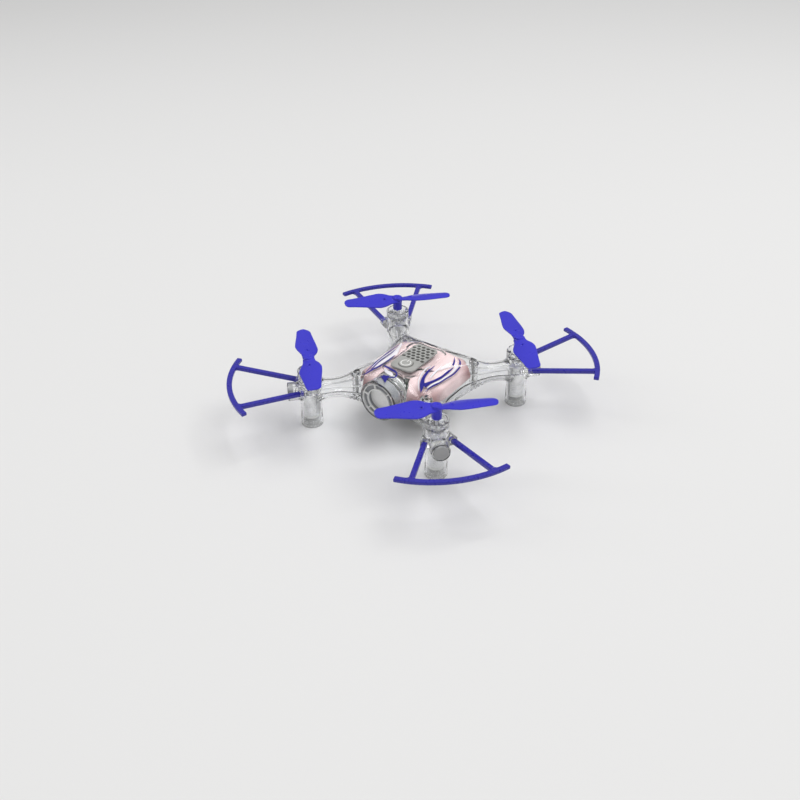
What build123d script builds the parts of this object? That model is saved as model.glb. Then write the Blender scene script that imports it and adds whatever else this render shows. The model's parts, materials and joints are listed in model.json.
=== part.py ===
"""Mini palm drone: clear body, four motor pods on arms, four rotors, four guards.

Millimetres, +Z up, the front of the drone looks along -Y. The origin is on the floor, under
the centre of the body. Arm parts are built along +X and then turned onto their diagonal.
"""
from build123d import *
import math
import os

# Layout
MOTOR_RADIUS = 48.0          # body centre to each motor axis
ARM_AXIS_Z = 18.0            # height of the arms' axes, and of the shells' parting plane
FIT_GAP = 0.1                # gap between pieces that are placed into each other
RUNNING_GAP = 0.05           # radial gap of a shaft in its bearing
ARMS = {"rear_right": 45, "rear_left": 135, "front_left": 225, "front_right": 315}
CLOCKWISE = ("front_right", "rear_left")
FAR = 200.0                  # larger than the whole drone

# Deck and button
DECK_Y = -1.0
DECK_HALF_X = 6.4
DECK_HALF_Y = 11.5
DECK_CORNER = 3.0
DECK_THICKNESS = 1.0
PAD_MARGIN = 3.0             # the roof's raised pad stands out this far around the plate
PAD_HEIGHT = 1.2
VENT_HOLE_R = 0.6
VENT_PITCH_X = 2.5
VENT_PITCH_Y = 2.1
VENT_ROWS = 6
VENT_COLUMNS = 4
BUTTON_Y = -7.5
BUTTON_R = 3.2
BUTTON_GAP = 0.15
BUTTON_TRAVEL = 0.5
BUTTON_PROUD = 0.5
BUTTON_STEM_R = 1.2
SYMBOL_R = BUTTON_R - 0.7      # outer radius of the power symbol's ring
SYMBOL_LINE = 0.6
SYMBOL_DEPTH = 0.2
BUTTON_STEM_GAP = 0.4

# Body shells, heights from the parting plane
SHELL_WALL = 1.0
BODY_HALF = 21.5             # half side at the parting plane
BODY_CORNER = 8.0
SHOULDER_HALF = BODY_HALF - 1.3
SHOULDER_Z = ARM_AXIS_Z + 6.6
CROWN_MARGIN_X = 1.4         # roof's flat crown around the pad
CROWN_MARGIN_Y = 2.1
CROWN_HALF_X = DECK_HALF_X + PAD_MARGIN + CROWN_MARGIN_X
CROWN_HALF_Y = DECK_HALF_Y + PAD_MARGIN + CROWN_MARGIN_Y
CROWN_Z = ARM_AXIS_Z + 10.0
CHINE_HALF = BODY_HALF - 0.7  # half side where the lower shell starts to taper
CHINE_Z = ARM_AXIS_Z - 4.7
FLOOR_HALF = BODY_HALF - 4.0
FLOOR_Z = ARM_AXIS_Z - 9.6
LINING_WALL = 0.8
PAD_TOP_Z = CROWN_Z + PAD_HEIGHT
DECK_TOP_Z = PAD_TOP_Z + DECK_THICKNESS

# Motor
MOTOR_R = 3.5
MOTOR_TOP_Z = ARM_AXIS_Z + 2.5
MOTOR_LENGTH = 16.0
MOTOR_BOTTOM_Z = MOTOR_TOP_Z - MOTOR_LENGTH
END_CAP_LENGTH = 1.2
CAN_WALL = 0.3
CAN_TOP_WALL = 0.6
CAN_NOSE_R = 1.1
CAN_NOSE_HEIGHT = 0.5
SHAFT_R = 0.5
COIL_GAP = 0.4               # air between the coil and the can
COIL_WALL = 0.6
COIL_R = MOTOR_R - CAN_WALL - COIL_GAP
MAGNET_GAP = 0.3
MAGNET_R = COIL_R - COIL_WALL - MAGNET_GAP
MAGNET_BORE_R = SHAFT_R + 0.3
LEAD_R = 0.25
LEAD_SPACING = 0.9

# Pods and arms
LEAD_SPACE = 0.6             # room beside the motor for its wires
POD_BORE_R = MOTOR_R + LEAD_SPACE
POD_WALL = 0.65
POD_WAIST_R = POD_BORE_R + POD_WALL
POD_TOP_R = POD_WAIST_R + 0.6
POD_TOP_Z = ARM_AXIS_Z + 10.5
CUP_WALL = 0.8
CUP_R = POD_TOP_R - 0.9
CUP_RIM_Z = POD_TOP_Z - 1.9
CUP_HOLE_R = SHAFT_R + 0.6
CUP_FLOOR_Z = MOTOR_TOP_Z + 1.5
FOOT_HEIGHT = 1.2
FOOT_PLUG = 1.8
ARM_ROOT_R = 6.9
ARM_WAIST_R = 4.5
LAMP_REACH = POD_TOP_R + 4.85  # motor axis to the end of the lamp's socket
LAMP_WALL = 0.7
LAMP_LENS_R = 3.5
LAMP_SOCKET_R = LAMP_LENS_R + LAMP_WALL
LAMP_LENS_LENGTH = 2.4
LED_R = 1.5
LED_LENGTH = 3.4

# Propeller: each blade section is (distance from the axis, chord, pitch in degrees)
PROP_R = 26.0
HUB_R = 2.2
HUB_RISE = 0.4               # hub's lower end above the pod's rim
HUB_BOTTOM_Z = POD_TOP_Z + HUB_RISE
PROP_Z = HUB_BOTTOM_Z + 5.2
HUB_TOP_Z = PROP_Z + 1.5
HUB_CAP = 0.8                # hub's closed end over the shaft
BLADE_THICKNESS = 0.9
BLADE_SECTIONS = ((0.046, 5.2, 15.0), (0.154, 7.0, 15.5), (0.25, 9.4, 15.0), (0.346, 10.5, 13.0),
                  (0.5, 9.5, 10.5), (0.673, 8.0, 8.4), (0.846, 6.8, 6.6), (0.946, 5.7, 6.2),
                  (0.992, 3.0, 6.0))

# Guard, distances from the motor axis
GUARD_REACH = 35.6           # middle of the arc's top
GUARD_ARC_R = 50.0
GUARD_HALF_SPAN = 23.0
GUARD_ARC_Z = ARM_AXIS_Z + 5.4
GUARD_ARC_WIDTH = 2.4
GUARD_ARC_HEIGHT = 1.6
SPOKE_WIDTH = 2.3
SPOKE_HEIGHT = 1.9
SPOKE_ROOT_ANGLE = 56.8      # from the arm's direction
SPOKE_ROOT_RADIUS = POD_TOP_R + 1.22
SPOKE_ROOT_Z = ARM_AXIS_Z + 2.0
SPOKE_SPREAD = 16.8          # half the distance between the spokes' outer ends
SOCKET_DEPTH = 2.2
SOCKET_BEHIND = 3.0
SOCKET_WALL = 0.65

# Barrel and headlight, along Y
BARREL_Z = ARM_AXIS_Z + 3.6
BARREL_SHOULDER_Y = -BODY_HALF - 0.5
BARREL_LENGTH = 7.2
BARREL_FRONT_Y = BARREL_SHOULDER_Y - BARREL_LENGTH
SPIGOT_R = 7.9
SPIGOT_WALL = 0.9
SPIGOT_LENGTH = 4.4
SPIGOT_BACK_Y = BARREL_SHOULDER_Y + SPIGOT_LENGTH
BARREL_R = SPIGOT_R + 1.5
BARREL_WALL = 1.0
BARREL_BORE_R = BARREL_R - BARREL_WALL
HOOD_FRONT_R = SPIGOT_R + 1.2
HOOD_BACK_R = SPIGOT_R + 0.1
HOOD_LENGTH = 8.8
HOOD_BACK_Y = BARREL_SHOULDER_Y + HOOD_LENGTH
BEZEL_WIDTH = 3.0
BEZEL_BORE_R = BARREL_BORE_R - FIT_GAP - BEZEL_WIDTH
BEZEL_LENGTH = 2.4
BEZEL_RIBS = 6
BEZEL_RIB_TURN = 16.0        # degrees from the drone's X axis to the first rib
WINDOW_Y = BARREL_FRONT_Y + 0.3 + BEZEL_LENGTH
WINDOW_THICKNESS = 0.8
SLEEVE_WALL = 0.8            # sleeve of the bezel around the window
SLEEVE_LENGTH = 3.0
WINDOW_R = BARREL_BORE_R - SLEEVE_WALL - 2 * FIT_GAP
REFLECTOR_WALL = 0.6
LED_BOARD_THICKNESS = 0.8
LED_BOARD_Y = SPIGOT_BACK_Y - 0.2 - LED_BOARD_THICKNESS
REFLECTOR_COLLAR = 1.5
HEADLIGHT_LED_R = 2.4
HEADLIGHT_LED_BASE = 1.6

# Board, cell and door
BOARD_THICKNESS = 0.8
BOARD_Z = ARM_AXIS_Z + 0.6
BOARD_TOP_Z = BOARD_Z + BOARD_THICKNESS
BOARD_HALF_X = BODY_HALF - 8.5
BOARD_FRONT_Y = 8.5 - BODY_HALF
BOARD_BACK_Y = BODY_HALF - 3.1
SMALL_SCREW_R = 0.6
SMALL_HEAD_R = 1.3
SMALL_HEAD_HEIGHT = 0.8
BOARD_SCREWS = ((2.4 - BOARD_HALF_X, BOARD_FRONT_Y + 2.4), (BOARD_HALF_X - 2.4, BOARD_FRONT_Y + 2.4),
                (4.3 - BOARD_HALF_X, BOARD_BACK_Y - 2.2), (BOARD_HALF_X - 4.3, BOARD_BACK_Y - 2.2))
BOSS_R = SMALL_SCREW_R + 1.2
SWITCH_HEIGHT = 4.3
PORT_X = 2.6
PORT_HALF = 3.8
PORT_HEIGHT = 2.6
CELL_HALF_X = 8.3
CELL_HALF_Y = 14.0
CELL_HEIGHT = 6.8
CELL_PAD = 0.5
CELL_Z = FLOOR_Z + SHELL_WALL + 0.4 + CELL_PAD
CELL_LEAD_Y = CELL_HALF_Y + 3.0
DOOR_GAP = 0.15
DOOR_EAR_HALF = 2.4
DOOR_SCREW_Y = CELL_HALF_Y + 2.0

# Body screws
SCREW_RADIUS = (BODY_HALF - BODY_CORNER) * math.sqrt(2) + BODY_CORNER - 0.2
SCREW_SHANK_R = 0.6
SCREW_HEAD_R = 1.25
SCREW_HEAD_HEIGHT = 1.1
SCREW_TOP_Z = ARM_AXIS_Z + 6.1
SCREW_LENGTH = 9.0
SCREW_BOSS_R = SCREW_HEAD_R + 0.65
SCREW_BITE = 5.0             # depth of the pilot hole in the lower shell


def section(half_x, half_y, corner, z, y=0.0):
    """Rounded rectangle at height z."""
    return Pos(0, y, z) * RectangleRounded(2 * half_x, 2 * half_y, corner)


def stack(*sections):
    """Straight-sided solid through the sections."""
    return loft([section(*size) for size in sections], ruled=True)


def tube(outer, inner, low, high):
    """Ring along Z from low to high."""
    ring = Cylinder(outer, high - low) - Cylinder(inner, high - low)
    return Pos(0, 0, (low + high) / 2) * ring


def rod(radius, low, high):
    """Cylinder along Z from low to high."""
    return Pos(0, 0, (low + high) / 2) * Cylinder(radius, high - low)


def block(x_range, y_range, z_range):
    """Box between the given limits."""
    size = [high - low for low, high in (x_range, y_range, z_range)]
    centre = [(high + low) / 2 for low, high in (x_range, y_range, z_range)]
    return Pos(*centre) * Box(*size)


def turned(points):
    """Solid turned about Z from (radius, z) points joined by straight lines."""
    profile = make_face(Plane.XZ * Polyline(*points, close=True))
    return revolve(profile, Axis.Z)


def along_y(shape):
    """Turn a shape made along +Z to lie along +Y on the barrel's axis."""
    return Pos(0, 0, BARREL_Z) * Rot(-90, 0, 0) * shape


def along_x(shape):
    """Turn a shape made along +Z to lie along +X on the arm's axis."""
    return Pos(0, 0, ARM_AXIS_Z) * Rot(0, 90, 0) * shape


def at_motor(shape):
    """Move a shape from the origin to the motor axis of the arm along +X."""
    return Pos(MOTOR_RADIUS, 0, 0) * shape


def on_arm(name, shape):
    """Turn a shape from the arm along +X onto the named arm."""
    return Rot(0, 0, ARMS[name]) * shape


def wire(points, radius, bend):
    """Round wire through the points, with its corners bent."""
    path = FilletPolyline(*points, radius=bend)
    return sweep(path.location_at(0) * Circle(radius), path=path)


# Shells

def body_form(inset):
    """The body's closed form, set in by a wall thickness."""
    roof_drop = 0.7 * inset
    lower = stack((FLOOR_HALF - inset, FLOOR_HALF - inset, BODY_CORNER - 2 - inset, FLOOR_Z + inset),
                  (CHINE_HALF - inset, CHINE_HALF - inset, BODY_CORNER - inset, CHINE_Z + 0.3 * inset),
                  (BODY_HALF - inset, BODY_HALF - inset, BODY_CORNER - inset, ARM_AXIS_Z))
    upper = stack((BODY_HALF - inset, BODY_HALF - inset, BODY_CORNER - inset, ARM_AXIS_Z),
                  (SHOULDER_HALF - inset, SHOULDER_HALF - inset, BODY_CORNER - 0.5 - inset,
                   SHOULDER_Z - roof_drop),
                  (CROWN_HALF_X, CROWN_HALF_Y, 4.0, CROWN_Z - inset))
    return lower + upper


def pad_form(inset):
    """The raised pad under the deck plate, set in by a wall thickness."""
    half_x = DECK_HALF_X + PAD_MARGIN - inset
    half_y = DECK_HALF_Y + PAD_MARGIN - inset
    return stack((half_x, half_y, DECK_CORNER + 1.5, CROWN_Z - SHELL_WALL - 0.2, DECK_Y),
                 (half_x - 1.0, half_y - 1.0, DECK_CORNER + 0.8, PAD_TOP_Z - inset, DECK_Y))


def arm_form(inset):
    """One arm as a turned waist between the body's corner and the pod."""
    start = SCREW_RADIUS - 6.9
    stop = MOTOR_RADIUS - POD_WAIST_R + 0.25
    reach = MOTOR_RADIUS - 1
    waist = SCREW_RADIUS + 0.73 * (stop - SCREW_RADIUS)
    throat = SCREW_RADIUS + 0.43 * (stop - SCREW_RADIUS)
    tip = POD_TOP_R - 0.25 - inset
    curve = Spline((start, ARM_ROOT_R + 0.4 - inset), (SCREW_RADIUS, ARM_ROOT_R - inset),
                   (throat, ARM_WAIST_R + 0.15 - inset), (waist, ARM_WAIST_R - inset), (stop, tip))
    outline = [curve, Line((stop, tip), (reach, tip)), Line((reach, tip), (reach, 0)),
               Line((reach, 0), (start, 0)), Line((start, 0), (start, ARM_ROOT_R + 0.4 - inset))]
    profile = make_face(Plane.XZ * Wire(outline))
    return Pos(0, 0, ARM_AXIS_Z) * revolve(profile, Axis.X)


def pod_form():
    """Outside of one pod with its lamp socket."""
    curve = Spline((POD_WAIST_R + 0.2, FOOT_HEIGHT), (POD_WAIST_R, ARM_AXIS_Z - 10),
                   (POD_WAIST_R + 0.15, ARM_AXIS_Z - 4), (POD_TOP_R - 0.05, ARM_AXIS_Z + 2.5),
                   (POD_TOP_R, POD_TOP_Z))
    outline = [curve, Line((POD_TOP_R, POD_TOP_Z), (0, POD_TOP_Z)), Line((0, POD_TOP_Z), (0, FOOT_HEIGHT)),
               Line((0, FOOT_HEIGHT), (POD_WAIST_R + 0.2, FOOT_HEIGHT))]
    pod = revolve(make_face(Plane.XZ * Wire(outline)), Axis.Z)
    return pod + along_x(rod(LAMP_SOCKET_R, 0, LAMP_REACH))


def pod_void():
    """Everything that is hollow in one pod: motor bore, cup and lamp bore."""
    bore = turned([(0, FOOT_HEIGHT - 1), (POD_BORE_R, FOOT_HEIGHT - 1), (POD_BORE_R, CUP_RIM_Z - 1.2),
                   (CUP_HOLE_R + 0.6, CUP_FLOOR_Z - CUP_WALL), (0, CUP_FLOOR_Z - CUP_WALL)])
    cup = turned([(0, CUP_FLOOR_Z), (CUP_HOLE_R, CUP_FLOOR_Z), (CUP_R, CUP_RIM_Z),
                  (CUP_R, POD_TOP_Z + 1), (0, POD_TOP_Z + 1)])
    return bore + cup + rod(CUP_HOLE_R, CUP_FLOOR_Z - 2, CUP_FLOOR_Z + 1) + along_x(
        rod(LAMP_LENS_R, 0, LAMP_REACH + 1))


def spoke_ends(side):
    """A spoke's root beside the pod and its end in the middle of the arc."""
    angle = math.radians(SPOKE_ROOT_ANGLE)
    along = SPOKE_ROOT_RADIUS * math.cos(angle)
    root = Vector(along, side * SPOKE_ROOT_RADIUS * math.sin(angle), SPOKE_ROOT_Z)
    outward = GUARD_REACH - GUARD_ARC_R + math.sqrt(GUARD_ARC_R ** 2 - SPOKE_SPREAD ** 2)
    return root, Vector(outward, side * SPOKE_SPREAD, GUARD_ARC_Z - 0.05)


def spoke_frame(side):
    """Plane at a spoke's root, with its Z axis along the spoke."""
    root, end = spoke_ends(side)
    across = Vector(-(end - root).Y, (end - root).X, 0)
    return Plane(origin=root, x_dir=across, z_dir=end - root)


def spoke_prism(side, margin, start, stop):
    """Bar along a spoke's line, larger than the spoke by a margin on each side."""
    bar = Box(SPOKE_WIDTH + 2 * margin, SPOKE_HEIGHT + 2 * margin, stop - start)
    return spoke_frame(side) * Pos(0, 0, (start + stop) / 2) * bar


def pod_sockets():
    """The two sockets on a pod that hold the guard's spokes."""
    return [spoke_prism(side, SOCKET_WALL + FIT_GAP, -SOCKET_BEHIND, SOCKET_DEPTH) for side in (-1, 1)]


def hood_form(inset):
    """Tapered hood that carries the barrel over the front of the roof."""
    front = HOOD_FRONT_R - inset
    back = HOOD_BACK_R - inset
    cone = turned([(0, BARREL_SHOULDER_Y), (front, BARREL_SHOULDER_Y), (back, HOOD_BACK_Y - inset),
                   (0, HOOD_BACK_Y - inset)])
    return along_y(cone)


def shell_pair():
    """Upper and lower shell."""
    outer = body_form(0) + pad_form(0)
    inner = body_form(SHELL_WALL) + pad_form(SHELL_WALL)
    for name in ARMS:
        outer += on_arm(name, arm_form(0))
        inner += on_arm(name, arm_form(SHELL_WALL))
        pod = pod_form()
        for socket in pod_sockets():
            pod += socket
        for side in (-1, 1):
            pod -= spoke_prism(side, FIT_GAP, 0, 2 * SOCKET_DEPTH)
        outer += on_arm(name, at_motor(pod))
        inner += on_arm(name, at_motor(pod_void()))
    shell = outer - inner
    above = block((-FAR, FAR), (-FAR, FAR), (ARM_AXIS_Z, FAR))
    below = block((-FAR, FAR), (-FAR, FAR), (-FAR, ARM_AXIS_Z))
    hood = (hood_form(0) & above) - hood_form(SHELL_WALL)
    front_hole = along_y(rod(SPIGOT_R + FIT_GAP, BARREL_FRONT_Y - 5, SPIGOT_BACK_Y))
    upper = ((shell & above) - hood_form(SHELL_WALL)) + hood - front_hole
    collar = (hood_form(0) & below) & block((-FAR, FAR), (-FAR, 0.6 - BODY_HALF), (0, FAR))
    lower = (shell & below) + collar - front_hole
    for name in ARMS:
        boss = Pos(SCREW_RADIUS, 0, 0) * rod(SCREW_BOSS_R, ARM_AXIS_Z, SCREW_TOP_Z + 0.3)
        upper += on_arm(name, boss)
        hole = rod(SCREW_SHANK_R + FIT_GAP, ARM_AXIS_Z - 1, SCREW_TOP_Z + 1)
        hole += rod(SCREW_HEAD_R + FIT_GAP, SCREW_TOP_Z - SCREW_HEAD_HEIGHT, SCREW_TOP_Z + 2)
        upper -= on_arm(name, Pos(SCREW_RADIUS, 0, 0) * hole)
        post = rod(SCREW_BOSS_R, ARM_AXIS_Z - SCREW_BITE - 1, ARM_AXIS_Z)
        lower += on_arm(name, Pos(SCREW_RADIUS, 0, 0) * post)
        pilot = rod(SCREW_SHANK_R, ARM_AXIS_Z - SCREW_BITE, ARM_AXIS_Z)
        lower -= on_arm(name, Pos(SCREW_RADIUS, 0, 0) * pilot)
        for angle in (0, 110, 250):
            height = (MOTOR_BOTTOM_Z + 1.5, MOTOR_BOTTOM_Z + 8.5)
            rib = Rot(0, 0, angle) * block((MOTOR_R, POD_BORE_R + 0.3), (-0.4, 0.4), height)
            lower += on_arm(name, at_motor(rib - rod(MOTOR_R, 0, FAR)))
    upper -= rod(BUTTON_STEM_R + BUTTON_STEM_GAP, SHOULDER_Z, FAR).moved(Location((0, BUTTON_Y, 0)))
    upper -= block((-2.2, 2.2), (HOOD_BACK_Y - 2, HOOD_BACK_Y + 1), (ARM_AXIS_Z, BARREL_Z))
    upper -= port_form(0.3)
    for x, y in BOARD_SCREWS:
        boss = rod(BOSS_R, FLOOR_Z + 0.5 * SHELL_WALL, BOARD_Z) - rod(SMALL_SCREW_R, BOARD_Z - 5, BOARD_Z)
        lower += Pos(x, y, 0) * boss
    lower -= door_form(DOOR_GAP)
    seat = block((-4, 4), (CELL_HALF_Y + 1.2, FLOOR_HALF + 1.6), (FLOOR_Z + SHELL_WALL, FLOOR_Z + 4.5))
    lower += seat & body_form(0.5 * SHELL_WALL)
    lower -= Pos(0, DOOR_SCREW_Y, 0) * rod(SMALL_SCREW_R, FLOOR_Z, FLOOR_Z + 4)
    return upper, lower


def inner_canopy():
    """Coloured lining that follows the inside of the upper shell."""
    above = block((-FAR, FAR), (-FAR, FAR), (ARM_AXIS_Z + 0.4, FAR))
    lining = (body_form(SHELL_WALL + FIT_GAP) - body_form(SHELL_WALL + FIT_GAP + LINING_WALL)) & above
    for name in ARMS:
        lining -= on_arm(name, Pos(SCREW_RADIUS, 0, 0) * rod(SCREW_BOSS_R + 2.0, 0, FAR))
    lining -= along_y(turned([(0, BARREL_FRONT_Y), (HOOD_FRONT_R + 0.3, BARREL_FRONT_Y),
                              (HOOD_FRONT_R + FIT_GAP, BARREL_SHOULDER_Y),
                              (HOOD_BACK_R + FIT_GAP, HOOD_BACK_Y + FIT_GAP), (0, HOOD_BACK_Y + FIT_GAP)]))
    lining -= rod(BUTTON_STEM_R + BUTTON_STEM_GAP + FIT_GAP, 0, FAR).moved(Location((0, BUTTON_Y, 0)))
    return lining - port_form(0.4)


# Motors, rotors, lamps

def motor_can():
    """Steel can with its front bearing hole."""
    can = rod(MOTOR_R, MOTOR_BOTTOM_Z + END_CAP_LENGTH, MOTOR_TOP_Z)
    can -= rod(MOTOR_R - CAN_WALL, MOTOR_BOTTOM_Z, MOTOR_TOP_Z - CAN_TOP_WALL)
    can += rod(CAN_NOSE_R, MOTOR_TOP_Z, MOTOR_TOP_Z + CAN_NOSE_HEIGHT)
    return at_motor(can - rod(SHAFT_R + RUNNING_GAP, 0, FAR))


def motor_end_cap():
    """Plastic end cap with its rear bearing hole."""
    cap = rod(MOTOR_R, MOTOR_BOTTOM_Z, MOTOR_BOTTOM_Z + END_CAP_LENGTH)
    cap += rod(MOTOR_R - CAN_WALL - 0.02, MOTOR_BOTTOM_Z, MOTOR_BOTTOM_Z + END_CAP_LENGTH + 0.8)
    return at_motor(cap - rod(SHAFT_R + RUNNING_GAP, MOTOR_BOTTOM_Z + 0.4, FAR))


def motor_magnet():
    """Fixed magnet tube that hangs from the can's top wall."""
    return at_motor(tube(MAGNET_R, MAGNET_BORE_R, MOTOR_BOTTOM_Z + 4.4, MOTOR_TOP_Z - CAN_TOP_WALL))


def motor_shaft():
    """Shaft with the coil cup that turns around the magnet."""
    low = MOTOR_BOTTOM_Z + 2.6
    coil = tube(COIL_R, COIL_R - COIL_WALL, low, MOTOR_TOP_Z - 1.6) + rod(COIL_R, low, low + 0.8)
    return at_motor(coil + rod(SHAFT_R, MOTOR_BOTTOM_Z + 0.5, HUB_TOP_Z - HUB_CAP))


def propeller(clockwise):
    """Two-blade propeller, blades square to the arm."""
    turn = -1 if clockwise else 1
    solids = rod(HUB_R, HUB_BOTTOM_Z, HUB_TOP_Z)
    for side in (-1, 1):
        sections = []
        for share, chord, pitch in BLADE_SECTIONS:
            radius = share * PROP_R
            thickness = BLADE_THICKNESS * (1 - 0.4 * share)
            outline = Ellipse(chord / 2, thickness / 2)
            plane = Plane(origin=(0, side * radius, PROP_Z), x_dir=(1, 0, 0), z_dir=(0, side, 0))
            sections.append(plane * Rot(0, 0, -turn * pitch) * outline)
        solids += loft(sections)
    return at_motor(solids - rod(SHAFT_R, 0, HUB_TOP_Z - HUB_CAP))


def lamp_lens():
    """Grey diffuser plug at the end of the lamp socket."""
    start = LAMP_REACH - LAMP_LENS_LENGTH
    plug = rod(LAMP_LENS_R - FIT_GAP, start, LAMP_REACH + 0.2)
    return at_motor(along_x(plug - rod(LAMP_LENS_R - 1.0, start - 1, start + 1.2)))


def lamp_led():
    """Round LED behind the lamp's diffuser."""
    start = MOTOR_R + FIT_GAP + 0.2
    led = rod(LED_R + 0.3, start, start + 0.7) + rod(LED_R, start, start + LED_LENGTH - LED_R)
    return at_motor(along_x(led + Pos(0, 0, start + LED_LENGTH - LED_R) * Sphere(LED_R)))


def foot_cap():
    """Translucent foot that closes the pod's lower end."""
    return at_motor(rod(POD_WAIST_R + 0.2, 0, FOOT_HEIGHT)
                    + rod(POD_BORE_R - FIT_GAP, FOOT_HEIGHT, FOOT_HEIGHT + FOOT_PLUG))


def motor_lead(side):
    """One wire from the motor's end cap, up the pod and along the arm to the board."""
    gap_middle = (MOTOR_R + POD_BORE_R) / 2
    beside = MOTOR_RADIUS - math.sqrt(gap_middle ** 2 - LEAD_SPACING ** 2)
    low = MOTOR_BOTTOM_Z - 0.75
    near = side * LEAD_SPACING
    wide = side * (SCREW_BOSS_R + 0.6)
    waist = SCREW_RADIUS + 0.5 * (MOTOR_RADIUS - POD_BORE_R - SCREW_RADIUS)
    board = BOARD_HALF_X * math.sqrt(2) - 2.2
    points = [(MOTOR_RADIUS - 2.0, near, MOTOR_BOTTOM_Z), (MOTOR_RADIUS - 2.0, near, low),
              (beside, near, low), (beside, near, ARM_AXIS_Z + 0.6), (waist, 2.0 * near, ARM_AXIS_Z + 0.9),
              (SCREW_RADIUS, wide, ARM_AXIS_Z + 1.1), (board + 5.7, wide, BOARD_TOP_Z + LEAD_R),
              (board, side * 2.0, BOARD_TOP_Z + LEAD_R)]
    return wire(points, LEAD_R, 0.4)


# Guard

def prop_guard():
    """Curved bumper with its two spokes."""
    half_angle = math.degrees(math.asin(GUARD_HALF_SPAN / GUARD_ARC_R))
    ring = tube(GUARD_ARC_R + GUARD_ARC_WIDTH / 2, GUARD_ARC_R - GUARD_ARC_WIDTH / 2,
                GUARD_ARC_Z - GUARD_ARC_HEIGHT / 2, GUARD_ARC_Z + GUARD_ARC_HEIGHT / 2)
    wedge = make_face(Polyline((0, 0), (FAR, -FAR * math.tan(math.radians(half_angle))),
                               (FAR, FAR * math.tan(math.radians(half_angle))), close=True))
    arc = ring & extrude(wedge, FAR)
    guard = Pos(GUARD_REACH - GUARD_ARC_R, 0, 0) * arc
    for side in (-1, 1):
        root, end = spoke_ends(side)
        length = (end - root).length
        guard += spoke_prism(side, 0, FIT_GAP, length)
    return at_motor(guard)


# Front barrel and headlight

def front_barrel():
    """Clear barrel with the spigot that plugs into the body."""
    barrel = turned([(BARREL_BORE_R, BARREL_FRONT_Y), (BARREL_R - 0.3, BARREL_FRONT_Y),
                     (BARREL_R, BARREL_FRONT_Y + 0.3), (BARREL_R, BARREL_FRONT_Y + 2.0),
                     (HOOD_FRONT_R, BARREL_SHOULDER_Y - FIT_GAP), (SPIGOT_R, BARREL_SHOULDER_Y - FIT_GAP),
                     (SPIGOT_R, SPIGOT_BACK_Y), (SPIGOT_R - SPIGOT_WALL, SPIGOT_BACK_Y),
                     (SPIGOT_R - SPIGOT_WALL, WINDOW_Y + SLEEVE_LENGTH + 1),
                     (BARREL_BORE_R, WINDOW_Y + SLEEVE_LENGTH)])
    return along_y(barrel)


def lens_bezel():
    """Ribbed ring around the window."""
    start = WINDOW_Y - BEZEL_LENGTH
    ring = tube(BARREL_BORE_R - FIT_GAP, BEZEL_BORE_R, start + 0.6, WINDOW_Y)
    ring += tube(BARREL_BORE_R - FIT_GAP, BARREL_BORE_R - 0.6, start, WINDOW_Y)
    ring += tube(BEZEL_BORE_R + 0.5, BEZEL_BORE_R, start, WINDOW_Y)
    ring += tube(BARREL_BORE_R - FIT_GAP, WINDOW_R + FIT_GAP, WINDOW_Y, WINDOW_Y + SLEEVE_LENGTH)
    for index in range(BEZEL_RIBS):
        rib = block((BEZEL_BORE_R + 0.2, BARREL_BORE_R - 0.3), (-0.25, 0.25), (start + 0.1, WINDOW_Y))
        ring += Rot(0, 0, BEZEL_RIB_TURN + index * 360 / BEZEL_RIBS) * rib
    return along_y(ring)


def lens_window():
    """Flat round window behind the bezel."""
    return along_y(rod(WINDOW_R, WINDOW_Y, WINDOW_Y + WINDOW_THICKNESS))


def lens_reflector():
    """Bright bowl between the window and the headlight's LED."""
    front = WINDOW_Y + WINDOW_THICKNESS
    back = LED_BOARD_Y - REFLECTOR_COLLAR
    bowl = turned([(BEZEL_BORE_R - REFLECTOR_WALL, front), (BEZEL_BORE_R, front),
                   (HEADLIGHT_LED_R + 0.2 + REFLECTOR_WALL, back), (HEADLIGHT_LED_R + 0.2, back)])
    collar = tube(HEADLIGHT_LED_R + 0.2 + REFLECTOR_WALL, HEADLIGHT_LED_R + 0.2, back, LED_BOARD_Y)
    return along_y(bowl + collar)


def headlight_led():
    """Domed LED of the headlight."""
    dome = rod(HEADLIGHT_LED_R, LED_BOARD_Y - HEADLIGHT_LED_BASE, LED_BOARD_Y)
    dome += Pos(0, 0, LED_BOARD_Y - HEADLIGHT_LED_BASE) * Sphere(HEADLIGHT_LED_R)
    return along_y(dome - rod(FAR, LED_BOARD_Y, FAR / 2))


def headlight_board():
    """Round board that carries the headlight's LED."""
    radius = SPIGOT_R - SPIGOT_WALL - FIT_GAP
    return along_y(rod(radius, LED_BOARD_Y, LED_BOARD_Y + LED_BOARD_THICKNESS))


def headlight_leads():
    """Two wires from the headlight's board to the control board."""
    start = LED_BOARD_Y + LED_BOARD_THICKNESS
    return [wire([(x, start, BARREL_Z - 1), (x, start + 2.2, BARREL_Z - 1),
                  (x, BOARD_FRONT_Y + 1.2, BOARD_TOP_Z + 0.3), (x, BOARD_FRONT_Y + 3.0, BOARD_TOP_Z + 0.3)],
                 0.3, 0.9) for x in (-1.2, 1.2)]


# Deck and button

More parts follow.
